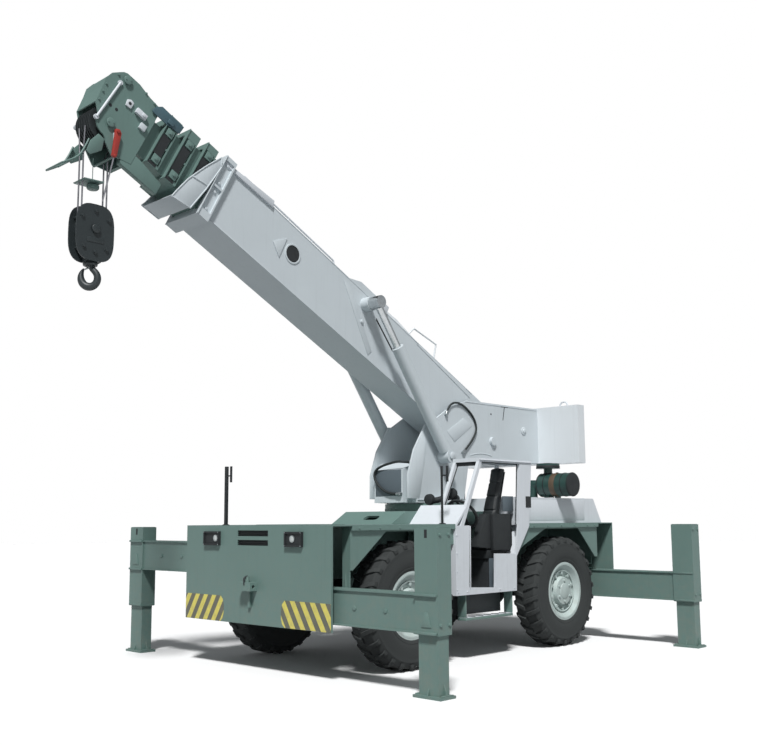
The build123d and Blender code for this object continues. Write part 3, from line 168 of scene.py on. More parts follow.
def sprayed_enamel(name, base, gloss, dirt=0.35):
    """Two-coat alkyd enamel sprayed on steel plate: satin, with a faint orange peel, a little fading from
    panel to panel and dust that settles low on the machine."""
    made, tree, place, shader = start_material(name)
    fade = add(tree, "ShaderNodeTexNoise", {"Scale": 1.7, "Detail": 3.0}, {"Vector": place})
    fade_mix = add(tree, "ShaderNodeMix", {"data_type": "RGBA", 6: rgba(base, 0.93), 7: rgba(base, 1.05)},
                   {0: fade.outputs["Fac"]})
    apart = add(tree, "ShaderNodeSeparateXYZ", links={0: place})
    low = add(tree, "ShaderNodeMapRange", {"From Min": 1.5, "From Max": 0.1, "To Min": 0.0, "To Max": 1.0},
              {"Value": apart.outputs["Z"]})
    specks = add(tree, "ShaderNodeTexNoise", {"Scale": 14.0, "Detail": 8.0, "Roughness": 0.65},
                 {"Vector": place})
    speck_ramp = add(tree, "ShaderNodeMapRange", {"From Min": 0.42, "From Max": 0.72},
                     {"Value": specks.outputs["Fac"]})
    dust = add(tree, "ShaderNodeMath", {"operation": "MULTIPLY"},
               {0: low.outputs["Result"], 1: speck_ramp.outputs["Result"]})
    dust_part = add(tree, "ShaderNodeMath", {"operation": "MULTIPLY", 1: dirt}, {0: dust.outputs[0]})
    dusty = add(tree, "ShaderNodeMix", {"data_type": "RGBA", 7: rgba(linear("#8B867A"))},
                {0: dust_part.outputs[0], 6: fade_mix.outputs[2]})
    # rain runs: upright streaks about 40 mm apart, a shade darker
    stretch = add(tree, "ShaderNodeMapping", {"Scale": (25.0, 25.0, 1.2)}, {"Vector": place})
    runs = add(tree, "ShaderNodeTexNoise", {"Scale": 1.0, "Detail": 4.0}, {"Vector": stretch.outputs["Vector"]})
    run_part = add(tree, "ShaderNodeMapRange", {"From Min": 0.55, "From Max": 0.8, "To Max": 0.22},
                   {"Value": runs.outputs["Fac"]})
    streaked = add(tree, "ShaderNodeMix", {"data_type": "RGBA", 7: rgba(base, 0.72)},
                   {0: run_part.outputs["Result"], 6: dusty.outputs[2]})
    tree.links.new(streaked.outputs[2], shader.inputs["Base Color"])
    rough = add(tree, "ShaderNodeMapRange", {"To Min": gloss, "To Max": gloss + 0.16},
                {"Value": specks.outputs["Fac"]})
    tree.links.new(rough.outputs["Result"], shader.inputs["Roughness"])
    # orange peel is about 3 mm across, drawn at 12 mm so that it shows at this distance
    peel = add(tree, "ShaderNodeTexNoise", {"Scale": 83.0, "Detail": 1.0}, {"Vector": place})
    bump = add(tree, "ShaderNodeBump", {"Strength": 0.05, "Distance": 0.002}, {"Height": peel.outputs["Fac"]})
    tree.links.new(bump.outputs["Normal"], shader.inputs["Normal"])
    return made


def plain_steel(name, base, rough, metallic):
    """Cast or rolled steel with thin oil and dust in its grain."""
    made, tree, place, shader = start_material(name)
    grain = add(tree, "ShaderNodeTexNoise", {"Scale": 22.0, "Detail": 6.0}, {"Vector": place})
    tone = add(tree, "ShaderNodeMix", {"data_type": "RGBA", 6: rgba(base, 0.75), 7: rgba(base, 1.25)},
               {0: grain.outputs["Fac"]})
    tree.links.new(tone.outputs[2], shader.inputs["Base Color"])
    spread = add(tree, "ShaderNodeMapRange", {"To Min": rough - 0.08, "To Max": rough + 0.12},
                 {"Value": grain.outputs["Fac"]})
    tree.links.new(spread.outputs["Result"], shader.inputs["Roughness"])
    shader.inputs["Metallic"].default_value = metallic
    bump = add(tree, "ShaderNodeBump", {"Strength": 0.15, "Distance": 0.002}, {"Height": grain.outputs["Fac"]})
    tree.links.new(bump.outputs["Normal"], shader.inputs["Normal"])
    return made


def moulded_rubber(name, base, dust=None):
    """Carbon-black rubber: matt, greyed by dust and scuffs, palest where the piece's dust attribute says."""
    made, tree, place, shader = start_material(name)
    scuff = add(tree, "ShaderNodeTexNoise", {"Scale": 9.0, "Detail": 7.0, "Roughness": 0.6}, {"Vector": place})
    tone = add(tree, "ShaderNodeMix", {"data_type": "RGBA", 6: rgba(base, 0.7), 7: rgba(base, 1.45)},
               {0: scuff.outputs["Fac"]})
    result = tone.outputs[2]
    if dust is not None:
        worn = add(tree, "ShaderNodeAttribute", {"attribute_name": "dust"})
        part = add(tree, "ShaderNodeMath", {"operation": "MULTIPLY"},
                   {0: worn.outputs["Fac"], 1: scuff.outputs["Fac"]})
        result = add(tree, "ShaderNodeMix", {"data_type": "RGBA", 7: rgba(dust)},
                     {0: part.outputs[0], 6: result}).outputs[2]
    tree.links.new(result, shader.inputs["Base Color"])
    shader.inputs["Roughness"].default_value = 0.72
    bump = add(tree, "ShaderNodeBump", {"Strength": 0.12, "Distance": 0.003}, {"Height": scuff.outputs["Fac"]})
    tree.links.new(bump.outputs["Normal"], shader.inputs["Normal"])
    return made


def checker_plate(name, base):
    """Enamelled tread plate on the decks: raised lozenges about 40 mm apart on the faces that look up."""
    made = sprayed_enamel(name, base, 0.45, 0.5)
    tree = made.node_tree
    shader = next(node for node in tree.nodes if node.type == "BSDF_PRINCIPLED")
    place = next(node for node in tree.nodes if node.type == "TEX_COORD").outputs["Object"]
    slanted = add(tree, "ShaderNodeMapping", {"Rotation": (0.0, 0.0, math.radians(45.0))}, {"Vector": place})
    first = add(tree, "ShaderNodeTexWave", {"wave_profile": "SIN", "Scale": 7.8},
                {"Vector": slanted.outputs["Vector"]})
    second = add(tree, "ShaderNodeTexWave", {"wave_profile": "SIN", "bands_direction": "Y", "Scale": 7.8},
                 {"Vector": slanted.outputs["Vector"]})
    both = add(tree, "ShaderNodeMath", {"operation": "MULTIPLY"},
               {0: first.outputs["Fac"], 1: second.outputs["Fac"]})
    raised = add(tree, "ShaderNodeMapRange", {"From Min": 0.45, "From Max": 0.6}, {"Value": both.outputs[0]})
    bump = add(tree, "ShaderNodeBump", {"Strength": 0.35, "Distance": 0.003},
               {"Height": raised.outputs["Result"]})
    tree.links.new(bump.outputs["Normal"], shader.inputs["Normal"])
    return made


def laid_rope(name):
    """Six-strand wire rope: slanting strands about 20 mm apart, darker in the valleys."""
    made, tree, place, shader = start_material(name)
    strands = add(tree, "ShaderNodeTexWave", {"bands_direction": "DIAGONAL", "Scale": 14.0, "Distortion": 0.6},
                  {"Vector": place})
    tone = add(tree, "ShaderNodeMix", {"data_type": "RGBA", 6: rgba(linear("#3D4242")),
                                       7: rgba(linear("#9CA1A1"))}, {0: strands.outputs["Fac"]})
    tree.links.new(tone.outputs[2], shader.inputs["Base Color"])
    shader.inputs["Metallic"].default_value = 0.7
    shader.inputs["Roughness"].default_value = 0.45
    bump = add(tree, "ShaderNodeBump", {"Strength": 0.5, "Distance": 0.003}, {"Height": strands.outputs["Fac"]})
    tree.links.new(bump.outputs["Normal"], shader.inputs["Normal"])
    return made


def ribbed_glass(name, base):
    """Pressed lamp glass over a bright reflector: pale, glossy, with upright ribs about 12 mm apart."""
    made, tree, place, shader = start_material(name)
    ribs = add(tree, "ShaderNodeTexWave", {"wave_profile": "SIN", "Scale": 26.0}, {"Vector": place})
    tone = add(tree, "ShaderNodeMix", {"data_type": "RGBA", 6: rgba(base, 0.6), 7: rgba(base, 1.0)},
               {0: ribs.outputs["Fac"]})
    tree.links.new(tone.outputs[2], shader.inputs["Base Color"])
    shader.inputs["Roughness"].default_value = 0.12
    shader.inputs["Coat Weight"].default_value = 0.8
    bump = add(tree, "ShaderNodeBump", {"Strength": 0.4, "Distance": 0.004}, {"Height": ribs.outputs["Fac"]})
    tree.links.new(bump.outputs["Normal"], shader.inputs["Normal"])
    return made


def seat_vinyl(name, base):
    """Black leather-look vinyl: fine pebble grain about 2 mm across, softly shiny on the crowns."""
    made, tree, place, shader = start_material(name)
    grain = add(tree, "ShaderNodeTexVoronoi", {"Scale": 420.0}, {"Vector": place})
    wear = add(tree, "ShaderNodeTexNoise", {"Scale": 8.0, "Detail": 5.0}, {"Vector": place})
    tone = add(tree, "ShaderNodeMix", {"data_type": "RGBA", 6: rgba(base, 0.8), 7: rgba(base, 1.5)},
               {0: wear.outputs["Fac"]})
    tree.links.new(tone.outputs[2], shader.inputs["Base Color"])
    shader.inputs["Roughness"].default_value = 0.5
    bump = add(tree, "ShaderNodeBump", {"Strength": 0.2, "Distance": 0.001},
               {"Height": grain.outputs["Distance"]})
    tree.links.new(bump.outputs["Normal"], shader.inputs["Normal"])
    return made


def finish_of(name):
    """The finish of that name, made once from the scene's colours."""
    if name in bpy.data.materials:
        return bpy.data.materials[name]
    c = bpy.context.scene.crane_colours
    makers = {
        "carrier_enamel": lambda n: sprayed_enamel(n, c.carrier, 0.42),
        "deck_plate": lambda n: checker_plate(n, c.carrier),
        "boom_enamel": lambda n: sprayed_enamel(n, c.boom, 0.38, 0.1),
        "cab_enamel": lambda n: sprayed_enamel(n, c.cab, 0.35, 0.2),
        "hook_enamel": lambda n: sprayed_enamel(n, c.hook, 0.38, 0.1),
        "stripe_enamel": lambda n: sprayed_enamel(n, c.stripe, 0.45, 0.6),
        "stripe_dark": lambda n: sprayed_enamel(n, c.stripe_ground, 0.5, 0.5),
        "cover_enamel": lambda n: sprayed_enamel(n, linear("#47616A"), 0.4, 0.1),
        "weight_enamel": lambda n: sprayed_enamel(n, linear("#E2E7EA"), 0.35, 0.1),
        # slate: dark blue-grey paint on the cab's panels; on the turret nose's front it is painted shade
        "slate_paint_and_shade": lambda n: sprayed_enamel(n, linear("#59646B"), 0.5, 0.2),
        "cleaner_enamel": lambda n: sprayed_enamel(n, linear("#27443F"), 0.32, 0.1),
        "cleaner_band": lambda n: sprayed_enamel(n, linear("#5A4A3A"), 0.5, 0.1),
        "socket_enamel": lambda n: sprayed_enamel(n, c.socket, 0.4, 0.1),
        "axle_steel": lambda n: plain_steel(n, c.steel, 0.55, 0.3),
        "zinc_steel": lambda n: plain_steel(n, linear("#9FA6A8"), 0.38, 0.8),
        "wheel_enamel": lambda n: sprayed_enamel(n, c.wheel, 0.42, 0.4),
        "tyre_rubber": lambda n: moulded_rubber(n, c.rubber, c.dust),
        "trim_black": lambda n: moulded_rubber(n, c.trim),
        "hose_rubber": lambda n: moulded_rubber(n, linear("#202627")),
        "seat_vinyl": lambda n: seat_vinyl(n, c.trim),
        "lamp_glass": lambda n: ribbed_glass(n, c.lens),
        "rope_steel": lambda n: laid_rope(n),
        "rod_chrome": lambda n: plain_steel(n, linear("#C4C8CA"), 0.2, 1.0),
    }
    return makers[name](name)


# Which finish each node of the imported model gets
NODE_FINISHES = {
    "carrier_enamel": ("chassis_frame", "turntable_base", "front_plate", "outrigger_housings", "boom_section_2",
                       "boom_section_3", "boom_section_4", "boom_tip", "outrigger_beam_", "outrigger_leg_"),
    "deck_plate": ("front_deck", "rear_deck"),
    "boom_enamel": ("turret_frame", "boom_base", "lift_barrel_"),
    "cab_enamel": ("cab_shell", "engine_hood"),
    "weight_enamel": ("counterweight",),
    "hook_enamel": ("hook_block", "hook"),
    "axle_steel": ("engine", "axles", "knuckle_", "tie_rod_", "fuel_tank", "winch_drum", "head_sheaves",
                   "top_sheave"),
    "wheel_enamel": ("wheel_",),
    "tyre_rubber": ("tyre_",),
    "trim_black": ("operator_seat", "control_console", "lamps", "mirrors"),
    "cleaner_enamel": ("air_cleaner",),
    "hose_rubber": ("side_hose", "nose_hose"),
    "rope_steel": ("hoist_ropes",),
    "rod_chrome": ("lift_rod_",),
}


def pick(*pieces):
    """Selects only these pieces, with the first one active."""
    bpy.ops.object.select_all(action="DESELECT")
    for piece in pieces:
        piece.select_set(True)
    bpy.context.view_layer.objects.active = pieces[0]


def settle(piece):
    """Puts the piece's place, turn and scale into its mesh."""
    pick(piece)
    bpy.ops.object.transform_apply(location=True, rotation=True, scale=True)
    return piece


def welded(*pieces):
    """One piece from several."""
    pieces = list(pieces)
    pick(*pieces)
    if len(pieces) > 1:
        bpy.ops.object.join()
    return bpy.context.object


def box(low, high):
    """A box from its lowest to its highest corner."""
    bpy.ops.object.select_all(action="DESELECT")
    bpy.ops.mesh.primitive_cube_add(size=1.0, location=(low + high) / 2)
    made = bpy.context.object
    made.scale = [abs(b - a) for a, b in zip(low, high)]
    return settle(made)


def rod(start, end, diameter, sides=24, tip=None):
    """A round bar between two places, tapered to the tip's diameter where one is given."""
    bpy.ops.object.select_all(action="DESELECT")
    turn = (end - start).to_track_quat("Z", "Y").to_euler()
    if tip is None:
        bpy.ops.mesh.primitive_cylinder_add(vertices=sides, radius=diameter / 2, depth=(end - start).length,
                                            location=(start + end) / 2, rotation=turn)
    else:
        bpy.ops.mesh.primitive_cone_add(vertices=sides, radius1=diameter / 2, radius2=tip / 2,
                                        depth=(end - start).length, location=(start + end) / 2, rotation=turn)
    return settle(bpy.context.object)


def ball(place, diameter, squash=(1.0, 1.0, 1.0)):
    """A ball, flattened by the squash factors."""
    bpy.ops.object.select_all(action="DESELECT")
    bpy.ops.mesh.primitive_uv_sphere_add(segments=20, ring_count=12, radius=diameter / 2, location=place)
    made = bpy.context.object
    made.scale = squash
    return settle(made)


def hoop(place, axis, diameter, thickness, sides=40):
    """A round ring about an axis."""
    bpy.ops.object.select_all(action="DESELECT")
    turn = Vector(axis).to_track_quat("Z", "Y").to_euler()
    bpy.ops.mesh.primitive_torus_add(major_segments=sides, minor_segments=10, major_radius=diameter / 2,
                                     minor_radius=thickness / 2, location=place, rotation=turn)
    return settle(bpy.context.object)


def placed_ring(places, fill):
    """A flat closed line through these places, filled or not."""
    bpy.ops.object.select_all(action="DESELECT")
    bpy.ops.mesh.primitive_circle_add(vertices=len(places), radius=1.0, fill_type="NGON" if fill else "NOTHING")
    made = bpy.context.object
    for corner, place in zip(made.data.vertices, places):
        corner.co = place
    return made


def plate(places, thickness):
    """A plate with this outline, raised by a thickness given as a direction and length."""
    made = placed_ring(places, True)
    pick(made)
    bpy.ops.object.mode_set(mode="EDIT")
    bpy.ops.mesh.select_all(action="SELECT")
    bpy.ops.mesh.extrude_region_move(TRANSFORM_OT_translate={"value": thickness})
    bpy.ops.mesh.select_all(action="SELECT")
    bpy.ops.mesh.normals_make_consistent(inside=False)
    bpy.ops.object.mode_set(mode="OBJECT")
    return made


def side_plate(x, places, thickness):
    """A plate across X, from its (y, z) corners in millimetres and its thickness in metres."""
    return plate([at(x, y, z) for y, z in places], (thickness, 0.0, 0.0))


def face_plate(y, places, thickness):
    """A plate across Y, from its (x, z) corners."""
    return plate([at(x, y, z) for x, z in places], (0.0, thickness, 0.0))


def level_plate(z, places, thickness):
    """A level plate, from its (x, y) corners."""
    return plate([at(x, y, z) for x, y in places], (0.0, 0.0, thickness))


def boom_plate(x, places, thickness):
    """A plate across X on the boom, from its (s, n) corners."""
    return plate([boom_at(s, n, x) for s, n in places], (thickness, 0.0, 0.0))


def turned(profile, place, axis=(1.0, 0.0, 0.0), steps=48):
    """A turned solid: its closed profile is given as (along the axis, radius) in millimetres."""
    axis = Vector(axis).normalized()
    out = axis.orthogonal().normalized()
    made = placed_ring([place + axis * (x / 1000) + out * (r / 1000) for x, r in profile], False)
    pick(made)
    bpy.ops.object.mode_set(mode="EDIT")
    bpy.ops.mesh.select_all(action="SELECT")
    bpy.ops.mesh.spin(steps=steps, angle=2 * math.pi, center=place, axis=axis)
    bpy.ops.mesh.select_all(action="SELECT")
    bpy.ops.mesh.remove_doubles(threshold=0.00002)
    bpy.ops.mesh.delete_loose()
    bpy.ops.mesh.select_all(action="SELECT")
    bpy.ops.mesh.normals_make_consistent(inside=False)
    bpy.ops.object.mode_set(mode="OBJECT")
    return made


def disc(radius, thickness, place, axis, steps):
    """A round flat disc that stands on a place; both sizes are in millimetres."""
    return turned([(0, 0), (0, radius), (thickness, radius), (thickness, 0)], place, axis, steps)


def annulus(along, radii, place, axis, steps):
    """A ring between two places along its axis and two radii, all in millimetres."""
    (start, end), (inner, outer) = along, radii
    return turned([(start, inner), (start, outer), (end, outer), (end, inner)], place, axis, steps)


def tube(places, diameter, rounded=True):
    """A bent tube whose line bends smoothly near these places."""
    line = bpy.data.curves.new("bent_line", "CURVE")
    line.dimensions = "3D"
    spline = line.splines.new("NURBS" if rounded else "POLY")
    spline.points.add(len(places) - 1)
    for point, place in zip(spline.points, places):
        point.co = (*place, 1.0)
    if rounded:
        spline.order_u = 3
        spline.use_endpoint_u = True
    line.bevel_depth = diameter / 2
    line.bevel_resolution = 3
    line.resolution_u = 8
    line.use_fill_caps = True
    made = bpy.data.objects.new("bent_tube", line)
    bpy.context.scene.collection.objects.link(made)
    pick(made)
    bpy.ops.object.convert(target="MESH")
    return bpy.context.object


def bolts(places, direction, across=0.024, height=0.014):
    """Hexagon bolt heads on washers, at these places, facing one way."""
    ahead = Vector(direction).normalized()
    heads = []
    for place in places:
        heads.append(rod(place, place + ahead * height * 0.25, across * 1.6, 16))
        heads.append(rod(place, place + ahead * height, across * 1.15, 6))
    return welded(*heads)


def copied(piece, move=(0.0, 0.0, 0.0), turn=0.0, about="X", mirror=False):
    """A copy with its own mesh, moved, turned about the world's axis, or mirrored across X."""
    twin = piece.copy()
    twin.data = piece.data.copy()
    bpy.context.scene.collection.objects.link(twin)
    shift = Matrix.Translation(move) @ Matrix.Rotation(turn, 4, about)
    if mirror:
        shift = Matrix.Scale(-1.0, 4, (1.0, 0.0, 0.0)) @ shift
    twin.data.transform(shift)
    if mirror:
        pick(twin)
        bpy.ops.object.mode_set(mode="EDIT")
        bpy.ops.mesh.select_all(action="SELECT")
        bpy.ops.mesh.flip_normals()
        bpy.ops.object.mode_set(mode="OBJECT")
    return twin


def finished(piece, name, finish, body, edge=0.0, smooth=32.0):
    """Welds the pieces of a list, rounds their edges, shades them, and gives name, finish and body."""
    if isinstance(piece, list):
        piece = welded(*piece)
    settle(piece)
    if edge:
        soften = piece.modifiers.new("soft_edges", "BEVEL")
        soften.width = edge
        soften.segments = 2
        soften.limit_method = "ANGLE"
        soften.angle_limit = math.radians(30.0)
        bpy.ops.object.modifier_apply(modifier=soften.name)
    bpy.ops.object.shade_smooth_by_angle(angle=math.radians(smooth))
    piece.name = name
    piece.data.name = name
    piece.data.materials.clear()
    piece.data.materials.append(finish_of(finish))
    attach(piece, body)
    return piece


class CRANE_OT_finishes(bpy.types.Operator):
    """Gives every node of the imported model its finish"""
    bl_idname = "crane.finishes"
    bl_label = "Finishes"

    def execute(self, context):
        for finish, names in NODE_FINISHES.items():
            for node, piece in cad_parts.items():
                if any(node == name or (name.endswith("_") and node.startswith(name)) for name in names):
                    piece.data.materials.clear()
                    piece.data.materials.append(finish_of(finish))
        return {"FINISHED"}


class CRANE_OT_tyres(bpy.types.Operator):
    """Builds the tyres with their tread lugs"""
    bl_idname = "crane.tyres"
    bl_label = "Tyres"

    def lug(self):
        """One lug at the top of a tyre about the X axis: it runs from the middle over the shoulder."""
        made = box(Vector((-0.5, -0.5, -0.5)), Vector((0.5, 0.5, 0.5)))
        pick(made)
        bpy.ops.object.mode_set(mode="EDIT")
        bpy.ops.mesh.select_all(action="SELECT")
        bpy.ops.mesh.subdivide(number_cuts=2)
        bpy.ops.object.mode_set(mode="OBJECT")
        for corner in made.data.vertices:
            u, w, h = corner.co.x + 0.5, corner.co.y, corner.co.z + 0.5
            drop = max(0.0, u - 0.62) / 0.38
            top = 677.0 - 34.0 * drop ** 1.5
            foot = 650.0 - 50.0 * drop
            radius = foot + h * (top - foot)
            wide = 58.0 - 12.0 * h
            corner.co = ((3.0 + 168.0 * u) / 1000, (w * wide + 62.0 * (u - 0.5)) / 1000, radius / 1000)
        return made

    def execute(self, context):
        profile = [(-145, 338), (-158, 360), (-170, 392), (-167, 402), (-173, 412), (-175, 470), (-173, 540),
                   (-167, 574), (-170, 584), (-163, 594), (-150, 636), (-135, 650), (-60, 655), (0, 656),
                   (60, 655), (135, 650), (150, 636), (163, 594), (170, 584), (167, 574), (173, 540),
                   (175, 470), (173, 412), (167, 402), (170, 392), (158, 360), (145, 338)]
        body = turned(profile, Vector((0.0, 0.0, 0.0)), steps=96)
        count = context.scene.crane_sizes.lug_count
        left = self.lug()
        right = copied(left, mirror=True)
        lugs = []
        for index in range(count):
            step = 2 * math.pi / count
            lugs.append(copied(left, turn=index * step))
            lugs.append(copied(right, turn=(index + 0.5) * step))
        for spare in (left, right):
            bpy.data.objects.remove(spare)
        tyre = welded(body, *lugs)
        soften = tyre.modifiers.new("moulded_edges", "BEVEL")
        soften.width = 0.003
        soften.segments = 1
        soften.limit_method = "ANGLE"
        soften.angle_limit = math.radians(40.0)
        bpy.ops.object.modifier_apply(modifier=soften.name)
        worn = tyre.data.attributes.new("dust", "FLOAT", "POINT")
        for corner, value in zip(tyre.data.vertices, worn.data):
            radius = math.hypot(corner.co.y, corner.co.z)
            value.value = min(1.0, max(0.12, (radius - 0.635) / 0.03))
        for name, side, end in CORNERS:
            made = copied(tyre, move=at(side * WHEEL_X, AXLE_Y[end], WHEEL_Z))
            finished(made, "tread_" + name, "tyre_rubber", "wheel_" + name)
            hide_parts("tyre_" + name)
        bpy.data.objects.remove(tyre)
        return {"FINISHED"}


class CRANE_OT_wheels(bpy.types.Operator):
    """Builds the wheel nuts, the hub's cap and the rim's lock ring"""
    bl_idname = "crane.wheels"
    bl_label = "Wheels"

    def execute(self, context):
        for name, side, end in CORNERS:
            hub = Vector((0.0, 0.0, 0.0))
            parts = [turned([(148, 97), (148, 0), (166, 0), (164, 60), (155, 92)], hub)]
            parts.append(hoop(Vector((0.118, 0.0, 0.0)), (1, 0, 0), 0.50, 0.016, 64))
            parts.append(hoop(Vector((0.152, 0.0, 0.0)), (1, 0, 0), 0.672, 0.014, 72))
            for count, radius, x, size in ((10, 0.222, 0.096, 0.034), (6, 0.128, 0.146, 0.022)):
                places = []
                for index in range(count):
                    turn = 2 * math.pi * (index + 0.5) / count
                    places.append(Vector((x, radius * math.cos(turn), radius * math.sin(turn))))
                parts.append(bolts(places, (1, 0, 0), size, size * 0.75))
            made = welded(*parts)
            if side < 0:
                twin = copied(made, mirror=True)
                bpy.data.objects.remove(made)
                made = twin
            made.data.transform(Matrix.Translation(at(side * WHEEL_X, AXLE_Y[end], WHEEL_Z)))
            finished(made, "wheel_fittings_" + name, "wheel_enamel", "wheel_" + name)
        return {"FINISHED"}


class CRANE_OT_front(bpy.types.Operator):
    """Builds the front plate's stripes, lamps, vent slats and tow fittings"""
    bl_idname = "crane.front"
    bl_label = "Front plate"

    def band(self, region, middle, lean, width):
        """The part of a plate within a slanting band whose middle crosses the plate's lower edge at this X."""
        made = copied(region)
        pick(made)
        across = Vector((1.0, 0.0, -lean)).normalized()
        bpy.ops.object.mode_set(mode="EDIT")
        for way in (1, -1):
            bpy.ops.mesh.select_all(action="SELECT")
            bpy.ops.mesh.bisect(plane_co=at(middle, 0, 490) + Vector((way * width / 2, 0, 0)),
                                plane_no=across * way, use_fill=True, clear_outer=True)
        bpy.ops.object.mode_set(mode="OBJECT")
        if not made.data.vertices:
            bpy.data.objects.remove(made)
            return None
        return made

    def execute(self, context):
        width = context.scene.crane_sizes.stripe_width
        gap = FACE_Y - 0.3
        for name, side, inner in (("right", -1, 500.0), ("left", 1, 457.0)):
            outline = [(BODY_HALF - 4, 492), (BODY_HALF - 4, 765), (inner + 60, 765), (inner + 22, 730),
                       (inner + 4, 680), (inner, 628), (inner + 4, 576), (inner + 22, 526), (inner + 60, 492)]
            region = plate([at(side * x, gap, z) for x, z in outline], (0.0, -0.0008, 0.0))
            finished(region, "stripe_ground_" + name, "stripe_dark", "carrier")
            pitch = 0.152
            yellow = []
            for index in range(8):
                middle = side * (inner + 40 + index * pitch * 1000)
                piece = self.band(region, middle, -side * 0.62, width * 1.25)
                if piece:
                    piece.data.transform(Matrix.Translation((0.0, -0.0009, 0.0)))
                    yellow.append(piece)
            finished(yellow, "stripes_" + name, "stripe_enamel", "carrier")
        lenses, rims = [], []
        for x0, x1, middle in ((-853.0, -575.0, -640.0), (533.0, 796.0, 649.0)):
            place = at(middle, FACE_Y - 20, LAMP_Z)
            lenses.append(turned([(0, 0), (0, 31), (6, 31), (9, 22), (11, 0)], place, (0, -1, 0)))
            rims.append(turned([(0, 30), (0, 38), (8, 37), (10, 33), (8, 30)], place, (0, -1, 0)))
            for dx in (x0 + 9, x1 - 9):
                rims.append(bolts([at(dx, FACE_Y - 35, z) for z in (1316, 1450)], (0, -1, 0), 0.008, 0.004))
        finished(lenses, "lamp_lenses", "lamp_glass", "carrier")
        finished(rims, "lamp_rims", "zinc_steel", "carrier")
        slats = []
        for z0, z1 in ((1311, 1369), (1409, 1470)):
            for step in range(3):
                z = z0 + (z1 - z0) * (step + 0.5) / 3
                slats.append(plate([at(-275, FACE_Y + 16, z - 4), at(-275, FACE_Y + 4, z + 4),
                                    at(-275, FACE_Y + 6, z + 6), at(-275, FACE_Y + 18, z - 2)],
                                   (0.513, 0.0, 0.0)))
            slats.append(box(at(-285, FACE_Y + 20, z0 - 6), at(248, FACE_Y + 21.5, z1 + 6)))
        finished(slats, "vent_slats", "trim_black", "carrier")
        eye = at(-34.5, FACE_Y - 50, 885)
        ears = [annulus((-14, 14), (24, 40), eye + Vector((dx, 0, 0)), (1, 0, 0), 32) for dx in (-0.075, 0.075)]
        latch = tube([at(-34, FACE_Y - 50, 990), at(-34, FACE_Y - 90, 985), at(-34, FACE_Y - 96, 940),
                      at(-34, FACE_Y - 90, 900)], 0.022)
        finished(welded(latch, *ears), "tow_fittings", "axle_steel", "carrier", 0.002)
        return {"FINISHED"}


